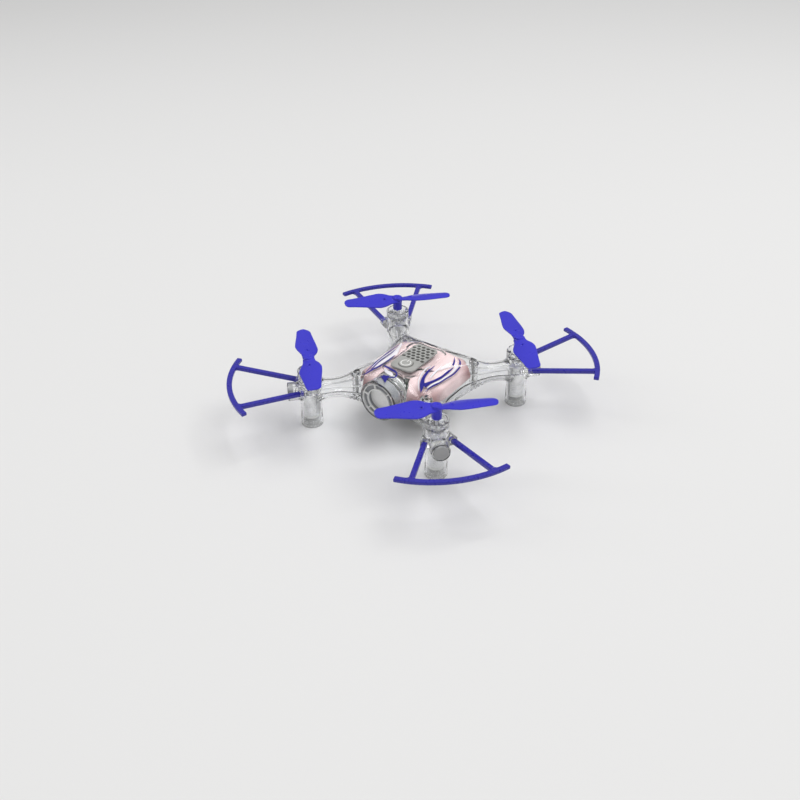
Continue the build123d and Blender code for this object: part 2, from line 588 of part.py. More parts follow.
def deck_plate():
    """Plate on the roof with its vent holes and the button's hole."""
    plate = stack((DECK_HALF_X, DECK_HALF_Y, DECK_CORNER, PAD_TOP_Z, DECK_Y),
                  (DECK_HALF_X - 0.3, DECK_HALF_Y - 0.3, DECK_CORNER - 0.3, DECK_TOP_Z, DECK_Y))
    plate -= Pos(0, BUTTON_Y, 0) * rod(BUTTON_R + BUTTON_GAP, 0, FAR)
    for row in range(VENT_ROWS):
        for column in range(VENT_COLUMNS + row % 2):
            x = (column - (VENT_COLUMNS - 1 + row % 2) / 2) * VENT_PITCH_X
            y = DECK_Y + DECK_HALF_Y - 2.0 - row * VENT_PITCH_Y
            plate -= Pos(x, y, 0) * rod(VENT_HOLE_R, 0, FAR)
    return plate


def symbol_form(top):
    """Open ring and bar of the power symbol, from its groove's floor to a height."""
    low = DECK_TOP_Z + BUTTON_PROUD - SYMBOL_DEPTH
    ring = tube(SYMBOL_R, SYMBOL_R - SYMBOL_LINE, low, top) - block((-0.8, 0.8), (0, SYMBOL_R + 1), (0, FAR))
    return [ring, block((-0.3, 0.3), (0.8, SYMBOL_R + 0.3), (low, top))]


def power_button():
    """Round button with its stem."""
    cap = rod(BUTTON_R, PAD_TOP_Z + BUTTON_TRAVEL + 0.1, DECK_TOP_Z + BUTTON_PROUD)
    tip = BOARD_TOP_Z + SWITCH_HEIGHT + BUTTON_TRAVEL + FIT_GAP
    stem = rod(BUTTON_STEM_R, tip, PAD_TOP_Z + BUTTON_TRAVEL + 0.2)
    groove = symbol_form(FAR)
    return Pos(0, BUTTON_Y, 0) * ((cap + stem) - groove[0] - groove[1])


def button_symbol():
    """Light inlay of the power symbol, in the button's groove."""
    return [Pos(0, BUTTON_Y, 0) * part for part in symbol_form(DECK_TOP_Z + BUTTON_PROUD)]


def button_spring():
    """Soft return ring between the pad and the button."""
    low = PAD_TOP_Z
    high = PAD_TOP_Z + BUTTON_TRAVEL + 0.1
    ring = turned([(2.4, low), (2.9, low), (2.4, high), (1.9, high)])
    return Pos(0, BUTTON_Y, 0) * ring


# Board, cell and door

def port_form(margin):
    """The charging socket's outside, with a margin."""
    return block((PORT_X - PORT_HALF - margin, PORT_X + PORT_HALF + margin),
                 (BOARD_BACK_Y - 4.0, BODY_HALF - 0.7 + 10 * margin),
                 (BOARD_TOP_Z - margin, BOARD_TOP_Z + PORT_HEIGHT + margin))


def usb_port():
    """Metal charging socket with its tongue."""
    wall = 0.4
    back = BOARD_BACK_Y - 2.0
    mouth = block((PORT_X - PORT_HALF + wall, PORT_X + PORT_HALF - wall), (back, BODY_HALF),
                  (BOARD_TOP_Z + wall, BOARD_TOP_Z + PORT_HEIGHT - wall))
    tongue = block((PORT_X - 2.0, PORT_X + 2.0), (back, BODY_HALF - 1.4),
                   (BOARD_TOP_Z + 1.0, BOARD_TOP_Z + 1.5))
    return port_form(0) - mouth + tongue


def control_board():
    """Main circuit board."""
    board = block((-BOARD_HALF_X, BOARD_HALF_X), (BOARD_FRONT_Y, BOARD_BACK_Y), (BOARD_Z, BOARD_TOP_Z))
    board = fillet(board.edges().filter_by(Axis.Z), 1.5)
    for x, y in BOARD_SCREWS:
        board -= Pos(x, y, 0) * rod(SMALL_SCREW_R + FIT_GAP, 0, FAR)
    return board - block((-6.6, -3.0), (CELL_LEAD_Y - 1, FAR), (0, FAR))


def board_chips():
    """Controller, motion sensor, radio and motor drivers."""
    top = BOARD_TOP_Z
    chips = [block((-2.5, 2.5), (1.0, 6.0), (top, top + 0.9)),
             block((4.5, 7.5), (-3.5, -0.5), (top, top + 0.8)),
             block((-8.0, -4.5), (-4.5, -1.0), (top, top + 0.8)),
             block((-9.5, -8.5), (3.0, 5.4), (top, top + 0.8))]
    for x in (-11.0, 11.0):
        for y in (-4.0, 4.5):
            chips.append(block((x - 0.8, x + 0.8), (y - 1.5, y + 1.5), (top, top + 1.0)))
    return chips


def tact_switch():
    """Small switch under the power button's stem."""
    body = block((-2.2, 2.2), (BUTTON_Y - 2.2, BUTTON_Y + 2.2),
                 (BOARD_TOP_Z, BOARD_TOP_Z + SWITCH_HEIGHT - 1))
    return body + Pos(0, BUTTON_Y, 0) * rod(1.0, BOARD_TOP_Z, BOARD_TOP_Z + SWITCH_HEIGHT)


def small_screw(top, length):
    """Pan-head screw pointing down from the underside height top."""
    return rod(SMALL_HEAD_R, top, top + SMALL_HEAD_HEIGHT) + rod(SMALL_SCREW_R, top - length, top)


def board_screws():
    """Four screws that hold the control board."""
    screw = small_screw(BOARD_TOP_Z, 4.5)
    return [Pos(x, y, 0) * screw for x, y in BOARD_SCREWS]


def body_screws():
    """Four screws that join the shells at the corners."""
    underside = SCREW_TOP_Z - SCREW_HEAD_HEIGHT
    screw = rod(SCREW_HEAD_R, underside, SCREW_TOP_Z)
    screw += rod(SCREW_SHANK_R, underside - SCREW_LENGTH, underside)
    slot = [Rot(0, 0, turn) * block((-0.85, 0.85), (-0.18, 0.18), (SCREW_TOP_Z - 0.5, SCREW_TOP_Z + 1))
            for turn in (0, 90)]
    screw -= slot
    return [on_arm(name, Pos(SCREW_RADIUS, 0, 0) * screw) for name in ARMS]


def door_form(margin):
    """The battery door's outline through the floor, with a margin."""
    door = block((-CELL_HALF_X - margin, CELL_HALF_X + margin), (-CELL_HALF_Y - margin, CELL_HALF_Y + margin),
                 (FLOOR_Z - margin, FLOOR_Z + SHELL_WALL))
    ear = block((-DOOR_EAR_HALF - margin, DOOR_EAR_HALF + margin), (CELL_HALF_Y - 1, FLOOR_HALF + 5),
                (FLOOR_Z - margin, FLOOR_Z + SHELL_WALL))
    reach = Pos(0, DOOR_SCREW_Y - 0.5, 0) * rod(DOOR_EAR_HALF + 0.1 + margin, 0, FAR)
    return door + (ear & (reach + block((-FAR, FAR), (-FAR, DOOR_SCREW_Y - 0.5), (0, FAR))))


def battery_door():
    """Door in the floor, with a finger tab at its front."""
    door = door_form(0)
    lip = block((-4, 4), (-CELL_HALF_Y - 1.6, -CELL_HALF_Y + 1),
                (FLOOR_Z + SHELL_WALL + 0.02, FLOOR_Z + SHELL_WALL + 0.4))
    door += lip
    door += block((-4, 4), (-CELL_HALF_Y, -CELL_HALF_Y + 1), (FLOOR_Z + 0.3, FLOOR_Z + SHELL_WALL + 0.2))
    for index in range(3):
        y = -CELL_HALF_Y + 2.5 + 1.6 * index
        door -= block((-3, 3), (y - 0.3, y + 0.3), (FLOOR_Z - 1, FLOOR_Z + 0.4))
    return door - Pos(0, DOOR_SCREW_Y, 0) * rod(SMALL_SCREW_R + FIT_GAP, 0, FAR)


def door_screw():
    """Screw of the battery door, from below."""
    screw = Rot(180, 0, 0) * small_screw(0, 3.8)
    return Pos(0, DOOR_SCREW_Y, FLOOR_Z) * screw


def battery_pad():
    """Foam under the cell."""
    return block((-CELL_HALF_X + 0.6, CELL_HALF_X - 0.6), (-CELL_HALF_Y + 1.2, CELL_HALF_Y - 0.4),
                 (CELL_Z - CELL_PAD, CELL_Z))


def battery_cell():
    """Flat lithium cell."""
    cell = block((-CELL_HALF_X, CELL_HALF_X), (-CELL_HALF_Y, CELL_HALF_Y), (CELL_Z, CELL_Z + CELL_HEIGHT))
    return fillet(cell.edges().filter_by(Axis.Y), 1.6)


def battery_leads():
    """Two wires from the cell to its plug."""
    low = CELL_Z + CELL_HEIGHT - 1.6
    return [wire([(x, CELL_HALF_Y, low), (x, CELL_LEAD_Y, low), (x, CELL_LEAD_Y, BOARD_TOP_Z + 1.8),
                  (x, 12.0, BOARD_TOP_Z + 1.8)], 0.35, 0.7) for x in (-5.6, -4.0)]


def battery_plug():
    """Cell plug standing on the board."""
    return block((-7.0, -2.6), (8.2, 12.0), (BOARD_TOP_Z, BOARD_TOP_Z + 3.4))


def antenna_wire():
    """Receiver wire along the left side of the body."""
    z = BOARD_TOP_Z + 0.3
    return wire([(-9.5, -6.6, z), (-14.6, -5.2, z), (-16.6, 3.0, z + 0.7), (-15.4, 11.5, z + 0.7)], 0.25, 1.5)


def build_all():
    """All nodes by name; a list is a group of separate solids in one node."""
    upper, lower = shell_pair()
    nodes = {"upper_shell": upper, "lower_shell": lower, "inner_canopy": inner_canopy(),
             "deck_plate": deck_plate(), "front_barrel": front_barrel(), "lens_bezel": lens_bezel(),
             "lens_window": lens_window(), "lens_reflector": lens_reflector(),
             "headlight_led": headlight_led(), "headlight_board": headlight_board(),
             "headlight_leads": headlight_leads(), "control_board": control_board(),
             "board_chips": board_chips(), "board_screws": board_screws(), "tact_switch": tact_switch(),
             "usb_port": usb_port(), "battery_cell": battery_cell(), "battery_pad": battery_pad(),
             "battery_leads": battery_leads(), "battery_plug": battery_plug(),
             "battery_door": battery_door(), "door_screw": door_screw(), "antenna_wire": antenna_wire(),
             "body_screws": body_screws(), "power_button": power_button(),
             "button_symbol": button_symbol(), "button_spring": button_spring(),
             "motor_end_caps": [on_arm(name, motor_end_cap()) for name in ARMS],
             "motor_magnets": [on_arm(name, motor_magnet()) for name in ARMS],
             "lamp_leds": [on_arm(name, lamp_led()) for name in ARMS]}
    for name in ARMS:
        nodes[f"motor_can_{name}"] = on_arm(name, motor_can())
        nodes[f"motor_shaft_{name}"] = on_arm(name, motor_shaft())
        nodes[f"motor_leads_{name}"] = [on_arm(name, motor_lead(side)) for side in (-1, 1)]
        nodes[f"propeller_{name}"] = on_arm(name, propeller(name in CLOCKWISE))
        nodes[f"prop_guard_{name}"] = on_arm(name, prop_guard())
        nodes[f"lamp_lens_{name}"] = on_arm(name, lamp_lens())
        nodes[f"foot_cap_{name}"] = on_arm(name, foot_cap())
    return nodes


os.makedirs("parts", exist_ok=True)
for node_name, shape in build_all().items():
    solids = shape if isinstance(shape, list) else [shape]
    export_step(Compound(children=[solid for item in solids for solid in item.solids()]),
                f"parts/{node_name}.step")
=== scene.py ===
"""Mini palm drone: visible meshes, finishes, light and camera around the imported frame.

Lengths in this file are millimetres unless a name says otherwise. Meshes are written in metres,
in the frame's own axes: +Z up, the front of the drone along -Y.
"""
from __future__ import annotations

import json
import logging
import math
from dataclasses import dataclass
from enum import Enum
from typing import Callable, Iterable, Sequence

import bmesh
import bpy
import numpy as np
from mathutils import Matrix, Vector

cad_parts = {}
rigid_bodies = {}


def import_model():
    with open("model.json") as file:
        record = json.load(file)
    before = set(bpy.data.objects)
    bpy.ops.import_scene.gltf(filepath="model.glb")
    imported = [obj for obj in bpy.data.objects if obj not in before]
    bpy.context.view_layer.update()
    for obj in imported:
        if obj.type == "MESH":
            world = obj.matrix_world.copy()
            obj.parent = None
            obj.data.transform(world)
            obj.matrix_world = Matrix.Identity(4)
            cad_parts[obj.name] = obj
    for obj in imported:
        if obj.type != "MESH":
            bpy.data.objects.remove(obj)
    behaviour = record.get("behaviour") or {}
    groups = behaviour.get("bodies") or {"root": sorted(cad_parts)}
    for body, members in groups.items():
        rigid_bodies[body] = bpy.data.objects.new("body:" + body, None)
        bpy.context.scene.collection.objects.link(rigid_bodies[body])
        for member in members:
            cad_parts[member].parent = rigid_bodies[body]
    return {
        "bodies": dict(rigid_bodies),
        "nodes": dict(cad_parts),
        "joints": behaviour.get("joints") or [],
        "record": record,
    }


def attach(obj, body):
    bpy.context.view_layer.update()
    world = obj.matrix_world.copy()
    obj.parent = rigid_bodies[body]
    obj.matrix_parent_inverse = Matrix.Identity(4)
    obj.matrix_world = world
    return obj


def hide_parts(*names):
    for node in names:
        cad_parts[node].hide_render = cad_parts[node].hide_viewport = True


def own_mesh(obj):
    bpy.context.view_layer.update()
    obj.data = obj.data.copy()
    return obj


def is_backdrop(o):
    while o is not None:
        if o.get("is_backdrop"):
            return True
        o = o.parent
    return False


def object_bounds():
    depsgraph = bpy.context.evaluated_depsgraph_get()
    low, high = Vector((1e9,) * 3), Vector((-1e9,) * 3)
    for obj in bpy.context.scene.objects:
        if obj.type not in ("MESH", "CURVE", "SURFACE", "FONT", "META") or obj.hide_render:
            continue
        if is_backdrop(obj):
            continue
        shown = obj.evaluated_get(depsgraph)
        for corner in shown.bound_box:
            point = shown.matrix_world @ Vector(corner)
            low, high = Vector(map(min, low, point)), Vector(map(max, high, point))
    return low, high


LOG = logging.getLogger("palm_drone")
MM = 0.001
HALF_ROOT = math.sqrt(0.5)

Distance = Callable[[np.ndarray, np.ndarray, np.ndarray], np.ndarray]
Stations = Sequence[tuple[float, float]]


# ---------------------------------------------------------------- shape tools


def smooth_min(a: np.ndarray, b: np.ndarray, blend: float) -> np.ndarray:
    """Smaller of two distances, rounded over a blend width where they meet."""
    share = np.maximum(blend - np.abs(a - b), 0.0) / blend
    return np.minimum(a, b) - share * share * blend * 0.25


def smooth_max(a: np.ndarray, b: np.ndarray, blend: float) -> np.ndarray:
    """Larger of two distances, rounded over a blend width where they meet."""
    return -smooth_min(-a, -b, blend)


def rectangle(u: np.ndarray, v: np.ndarray, half_u: object, half_v: object, corner: object) -> np.ndarray:
    """Signed distance to a rounded rectangle centred on the origin.

    Args:
        u, v: Coordinates across the rectangle.
        half_u, half_v: Its half sides, each a number or an array.
        corner: Its corner radius.

    Returns:
        Distances, negative inside.
    """
    over_u = np.abs(u) - half_u + corner
    over_v = np.abs(v) - half_v + corner
    outside = np.hypot(np.maximum(over_u, 0.0), np.maximum(over_v, 0.0))
    return outside + np.minimum(np.maximum(over_u, over_v), 0.0) - corner


def polygon(u: np.ndarray, v: np.ndarray, points: Stations) -> np.ndarray:
    """Signed distance to a closed polygon of (u, v) points."""
    nearest = np.full(np.shape(u), 1e9)
    sign = np.ones(np.shape(u))
    for (au, av), (bu, bv) in zip(points, list(points[1:]) + [points[0]]):
        du, dv = bu - au, bv - av
        share = np.clip(((u - au) * du + (v - av) * dv) / (du * du + dv * dv), 0.0, 1.0)
        nearest = np.minimum(nearest, (u - au - share * du) ** 2 + (v - av - share * dv) ** 2)
        crosses = (av > v) != (bv > v)
        if dv != 0:
            sign = np.where(crosses & (u < du * (v - av) / dv + au), -sign, sign)
    return sign * np.sqrt(nearest)


class Profile:
    """A value that changes smoothly along a line, from a few stations."""

    def __init__(self, stations: Stations, soften: float) -> None:
        """Read the stations and round their corners over a length."""
        places = [place for place, _ in stations]
        values = [value for _, value in stations]
        first = (values[1] - values[0]) / (places[1] - places[0])
        last = (values[-1] - values[-2]) / (places[-1] - places[-2])
        reach = 6 * soften
        self.places = np.linspace(places[0] - reach, places[-1] + reach, 900)
        line = np.interp(self.places, places, values)
        line += np.minimum(self.places - places[0], 0) * first + np.maximum(self.places - places[-1], 0) * last
        spacing = self.places[1] - self.places[0]
        offsets = np.arange(-int(3 * soften / spacing), int(3 * soften / spacing) + 1) * spacing
        kernel = np.exp(-0.5 * (offsets / soften) ** 2)
        padded = np.pad(line, len(offsets) // 2, mode="reflect", reflect_type="odd")
        self.values = np.convolve(padded, kernel / kernel.sum(), mode="valid")[: len(self.places)]
        self.slopes = np.gradient(self.values, self.places)

    def __call__(self, place: np.ndarray) -> np.ndarray:
        """Value at a place along the line."""
        return np.interp(place, self.places, self.values)

    def slope(self, place: np.ndarray) -> np.ndarray:
        """Slope at a place along the line."""
        return np.interp(place, self.places, self.slopes)


@dataclass(frozen=True)
class Moulding:
    """A closed moulded form given by a signed distance, meshed on a grid.

    Attributes:
        distance: Signed distance of x, y and z.
        low, high: Corners of the grid's box.
        step: Grid spacing.
    """

    distance: Distance
    low: tuple[float, float, float]
    high: tuple[float, float, float]
    step: float

    def net(self) -> tuple[np.ndarray, np.ndarray]:
        """Vertices and quads of the surface, each vertex drawn onto the form.

        Returns:
            Points in millimetres and the four vertex numbers of each face.
        """
        axes = [np.arange(lo, hi + self.step, self.step) for lo, hi in zip(self.low, self.high)]
        values = self.distance(*np.meshgrid(*axes, indexing="ij")).astype(np.float32)
        cells = tuple(size - 1 for size in values.shape)
        total = np.zeros(cells + (3,), np.float32)
        count = np.zeros(cells, np.float32)
        for axis in range(3):
            others = [a for a in range(3) if a != axis]
            for first in (0, 1):
                for second in (0, 1):
                    start = [slice(None)] * 3
                    start[axis] = slice(0, cells[axis])
                    start[others[0]] = slice(first, first + cells[others[0]])
                    start[others[1]] = slice(second, second + cells[others[1]])
                    stop = list(start)
                    stop[axis] = slice(1, cells[axis] + 1)
                    a, b = values[tuple(start)], values[tuple(stop)]
                    cross = (a < 0) != (b < 0)
                    share = np.where(cross, a / np.where(cross, a - b, 1.0), 0.0)
                    total[..., axis] += share
                    total[..., others[0]] += cross * first
                    total[..., others[1]] += cross * second
                    count += cross
        used = count > 0
        number = np.full(cells, -1, np.int64)
        number[used] = np.arange(used.sum())
        index = np.argwhere(used)
        points = (index + total[used] / count[used][:, None]) * self.step + np.array(self.low)
        return self._settle(points), self._quads(values < 0, number)

    @staticmethod
    def _quads(inside: np.ndarray, number: np.ndarray) -> np.ndarray:
        """One quad for each grid edge that crosses the surface, facing outwards."""
        found = []
        for axis in range(3):
            a, b = (axis + 1) % 3, (axis + 2) % 3
            start = [slice(None)] * 3
            stop = [slice(None)] * 3
            start[axis], stop[axis] = slice(0, -1), slice(1, None)
            leaves = inside[tuple(start)] & ~inside[tuple(stop)]
            enters = ~inside[tuple(start)] & inside[tuple(stop)]
            for edges, order in ((leaves, (0, 1, 2, 3)), (enters, (3, 2, 1, 0))):
                place = np.argwhere(edges)
                place = place[(place[:, a] > 0) & (place[:, b] > 0)]
                place = place[(place[:, a] < number.shape[a]) & (place[:, b] < number.shape[b])]
                corners = []
                for step_a, step_b in ((-1, -1), (0, -1), (0, 0), (-1, 0)):
                    cell = place.copy()
                    cell[:, a] += step_a
                    cell[:, b] += step_b
                    corners.append(number[cell[:, 0], cell[:, 1], cell[:, 2]])
                found.append(np.stack([corners[i] for i in order], axis=1))
        return np.concatenate(found)

    def _settle(self, points: np.ndarray) -> np.ndarray:
        """Move points along the distance's gradient onto the surface."""
        reach = 0.02
        for _ in range(3):
            here = self.distance(points[:, 0], points[:, 1], points[:, 2])
            slope = np.empty_like(points)
            for axis in range(3):
                ahead, behind = points.copy(), points.copy()
                ahead[:, axis] += reach
                behind[:, axis] -= reach
                rise = self.distance(*ahead.T) - self.distance(*behind.T)
                slope[:, axis] = rise / (2 * reach)
            size = np.maximum((slope ** 2).sum(axis=1), 0.05)
            move = -(here / size)[:, None] * slope
            length = np.linalg.norm(move, axis=1, keepdims=True)
            points = points + move * np.minimum(1.0, 0.4 * self.step / np.maximum(length, 1e-9))
        return points


def mesh_from(name: str, points: np.ndarray, faces: np.ndarray) -> bpy.types.Mesh:
    """Mesh in metres from millimetre points and equal-sized faces, shaded smooth."""
    mesh = bpy.data.meshes.new(name)
    faces = np.asarray(faces, np.int32)
    mesh.vertices.add(len(points))
    mesh.vertices.foreach_set("co", (np.asarray(points) * MM).astype(np.float32).ravel())
    mesh.loops.add(faces.size)
    mesh.loops.foreach_set("vertex_index", faces.ravel())
    mesh.polygons.add(len(faces))
    mesh.polygons.foreach_set("loop_start", np.arange(len(faces), dtype=np.int32) * faces.shape[1])
    mesh.polygons.foreach_set("use_smooth", np.ones(len(faces), bool))
    mesh.update(calc_edges=True)
    mesh.validate()
    return mesh


def turned(points: Stations, segments: int = 72) -> tuple[np.ndarray, np.ndarray]:
    """Closed form turned about Z from a closed loop of (radius, z) points.

    Args:
        points: The loop, wound so that its inside is on the left. Radius 0 is a pole.
        segments: Steps around the axis.

    Returns:
        Points and quads; quads at a pole are merged when the mesh is built.
    """
    angles = np.linspace(0, 2 * math.pi, segments, endpoint=False)
    rows = [np.stack([r * np.cos(angles), r * np.sin(angles), np.full(segments, z)], 1) for r, z in points]
    faces = []
    count = len(points)
    for row in range(count):
        after = (row + 1) % count
        if points[row][0] == 0 and points[after][0] == 0:
            continue
        here = row * segments + np.arange(segments)
        there = after * segments + np.arange(segments)
        faces.append(np.stack([here, np.roll(here, -1), np.roll(there, -1), there], 1))
    return np.concatenate(rows), np.concatenate(faces)


def rounded(points: Stations, radius: float, steps: int = 3) -> list[tuple[float, float]]:
    """The loop of points with its corners rounded, apart from corners on the axis."""
    result: list[tuple[float, float]] = []
    for index, point in enumerate(points):
        before = Vector(points[index - 1])
        here = Vector(point)
        after = Vector(points[(index + 1) % len(points)])
        if here.x == 0:
            result.append(point)
            continue
        cut = min(radius, 0.45 * (before - here).length, 0.45 * (after - here).length)
        start = here + (before - here).normalized() * cut
        stop = here + (after - here).normalized() * cut
        for step in range(steps + 1):
            t = step / steps
            place = start * (1 - t) ** 2 + here * 2 * t * (1 - t) + stop * t * t
            result.append((place.x, place.y))
    return result


def clean(mesh: bpy.types.Mesh, sharp_degrees: float = 0.0) -> bpy.types.Mesh:
    """Merge doubled points, drop faces with no area, face outwards and mark sharp edges."""
    work = bmesh.new()
    work.from_mesh(mesh)
    bmesh.ops.remove_doubles(work, verts=work.verts, dist=1e-7)
    bmesh.ops.dissolve_degenerate(work, edges=work.edges, dist=1e-8)
    bmesh.ops.recalc_face_normals(work, faces=work.faces)
    work.to_mesh(mesh)
    work.free()
    if sharp_degrees:
        mesh.set_sharp_from_angle(angle=math.radians(sharp_degrees))
    return mesh


def add_object(name: str, mesh: bpy.types.Mesh, finish: bpy.types.Material) -> bpy.types.Object:
    """New object at the origin with one material."""
    piece = bpy.data.objects.new(name, mesh)
    bpy.context.scene.collection.objects.link(piece)
    mesh.materials.clear()
    mesh.materials.append(finish)
    return piece


def settle_piece(piece: bpy.types.Object, body: str, slot: str, *nodes: str) -> bpy.types.Object:
    """Ride a piece on a body and hide the frame nodes that it stands for."""
    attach(piece, body)
    if nodes:
        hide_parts(*nodes)
    LOG.info("%s: %d faces on %s", piece.name, len(piece.data.polygons), body)
    return piece


def evaluated(piece: bpy.types.Object) -> bpy.types.Mesh:
    """Plain mesh of a piece with its modifiers applied, which are then removed."""
    bpy.context.view_layer.update()
    graph = bpy.context.evaluated_depsgraph_get()
    mesh = bpy.data.meshes.new_from_object(piece.evaluated_get(graph), depsgraph=graph)
    piece.modifiers.clear()
    return mesh


# ---------------------------------------------------------------- finishes


class Shader:
    """A material's node tree, with short calls for what these finishes use."""

    def __init__(self, name: str) -> None:
        """Start an empty material."""
        self.material = bpy.data.materials.new(name)
        self.material.use_nodes = True
        self.tree = self.material.node_tree
        self.tree.nodes.clear()
        self.output = self.tree.nodes.new("ShaderNodeOutputMaterial")
        self.place = self.tree.nodes.new("ShaderNodeTexCoord").outputs["Object"]

    def node(self, kind: str, inputs: dict | None = None, **settings: object) -> bpy.types.Node:
        """Add a node; inputs holds numbers, colours or sockets by socket name or number."""
        node = self.tree.nodes.new(kind)
        for key, value in settings.items():
            setattr(node, key, value)
        for key, value in (inputs or {}).items():
            if isinstance(value, bpy.types.NodeSocket):
                self.tree.links.new(value, node.inputs[key])
            else:
                node.inputs[key].default_value = value
        return node

    def noise(self, scale: float, detail: float = 2.0, place: bpy.types.NodeSocket | None = None):
        """Noise over the piece, scale in cycles per metre."""
        node = self.node("ShaderNodeTexNoise", {"Vector": place or self.place, "Scale": scale, "Detail": detail})
        return node.outputs[0]

    def span(self, value: bpy.types.NodeSocket, low: float, high: float, low_in: float = 0.3,
             high_in: float = 0.7) -> bpy.types.NodeSocket:
        """Map a value onto a span of numbers."""
        node = self.node("ShaderNodeMapRange", {"Value": value, "From Min": low_in, "From Max": high_in,
                                                "To Min": low, "To Max": high})
        return node.outputs[0]

    def blend(self, share: object, first: object, second: object) -> bpy.types.NodeSocket:
        """Mix two colours."""
        node = self.node("ShaderNodeMix", {0: share, 6: first, 7: second}, data_type="RGBA")
        return node.outputs[2]

    def maths(self, operation: str, first: object, second: object = 0.0) -> bpy.types.NodeSocket:
        """One arithmetic step."""
        return self.node("ShaderNodeMath", {0: first, 1: second}, operation=operation).outputs[0]

    def bump(self, height: bpy.types.NodeSocket, depth_m: float) -> bpy.types.NodeSocket:
        """Normal from a height of at most depth_m."""
        node = self.node("ShaderNodeBump", {"Height": height, "Distance": depth_m, "Strength": 1.0})
        return node.outputs[0]

    def surface(self, shader: bpy.types.NodeSocket) -> bpy.types.Material:
        """Connect the shader to the output."""
        self.tree.links.new(shader, self.output.inputs["Surface"])
        return self.material


def rgba(colour: Sequence[float], scale: float = 1.0) -> tuple[float, float, float, float]:
    """Colour with full alpha, brightened or darkened by a factor."""
    return tuple(min(1.0, channel * scale) for channel in colour) + (1.0,)


@dataclass(frozen=True)
class Plastic:
    """Moulded opaque plastic or rubber with slight mottling and a fine grain.

    Attributes:
        colour: Linear base colour.
        roughness: Middle of its roughness.
        grain: Cycles per metre of the grain.
        depth: Height of the grain in metres.
        mottle: Share by which the colour varies.
        coat: Weight of a gloss coat.
        subsurface: Share of light that scatters inside.
    """

    name: str
    colour: tuple[float, float, float]
    roughness: float = 0.4
    grain: float = 6000.0
    depth: float = 0.00001
    mottle: float = 0.08
    coat: float = 0.0
    subsurface: float = 0.0

    def material(self) -> bpy.types.Material:
        """Build the material."""
        s = Shader(self.name)
        cloud = s.noise(140.0, 3.0)
        fine = s.noise(self.grain, 2.0)
        colour = s.blend(s.span(cloud, 0.0, 1.0), rgba(self.colour, 1 - self.mottle), rgba(self.colour, 1 + self.mottle))
        roughness = s.span(s.noise(900.0, 4.0), self.roughness * 0.8, self.roughness * 1.2)
        shader = s.node("ShaderNodeBsdfPrincipled", {
            "Base Color": colour, "Roughness": roughness, "Normal": s.bump(fine, self.depth),
            "Coat Weight": self.coat, "Coat Roughness": 0.06, "Subsurface Weight": self.subsurface,
            "Subsurface Scale": 0.002})
        return s.surface(shader.outputs[0])


@dataclass(frozen=True)
class ClearPlastic:
    """Clear moulded plastic that lets lamps reach what is behind it.

    Attributes:
        tint: Colour of light that passes.
        roughness: Middle of its roughness.
        veil: Share of a faint milky haze on its surface.
    """

    name: str
    tint: tuple[float, float, float]
    roughness: float = 0.05
    veil: float = 0.05
    ripple: float = 0.00003
    shade: float = 0.9

    def material(self) -> bpy.types.Material:
        """Build the material."""
        s = Shader(self.name)
        flow = s.noise(220.0, 2.0)
        scuff = s.noise(2500.0, 5.0)
        roughness = s.span(scuff, self.roughness * 0.5, self.roughness * 1.6)
        normal = s.bump(flow, self.ripple)
        glass = s.node("ShaderNodeBsdfPrincipled", {
            "Base Color": rgba(self.tint), "Roughness": roughness, "IOR": 1.46,
            "Transmission Weight": 1.0 - self.veil, "Normal": normal})
        passing = s.node("ShaderNodeBsdfTransparent", {"Color": rgba(self.tint, self.shade)})
        shadow = s.node("ShaderNodeLightPath").outputs["Is Shadow Ray"]
        mix = s.node("ShaderNodeMixShader", {0: shadow, 1: glass.outputs[0], 2: passing.outputs[0]})
        return s.surface(mix.outputs[0])


@dataclass(frozen=True)
class Metal:
    """Bare metal with fine brush lines across one axis.

    Attributes:
        colour: Linear base colour.
        roughness: Middle of its roughness.
        stretch: Scale of the brush lines along X, Y and Z, in cycles per metre.
    """

    name: str
    colour: tuple[float, float, float]
    roughness: float = 0.25
    stretch: tuple[float, float, float] = (400.0, 400.0, 6000.0)

    def material(self) -> bpy.types.Material:
        """Build the material."""
        s = Shader(self.name)
        lines = s.node("ShaderNodeMapping", {"Vector": s.place, "Scale": self.stretch}).outputs[0]
        brush = s.noise(1.0, 3.0, lines)
        stain = s.noise(300.0, 3.0)
        colour = s.blend(s.span(stain, 0.0, 1.0), rgba(self.colour, 0.82), rgba(self.colour, 1.08))
        shader = s.node("ShaderNodeBsdfPrincipled", {
            "Base Color": colour, "Metallic": 1.0, "Normal": s.bump(brush, 0.000008),
            "Roughness": s.span(brush, self.roughness * 0.7, self.roughness * 1.4)})
        return s.surface(shader.outputs[0])


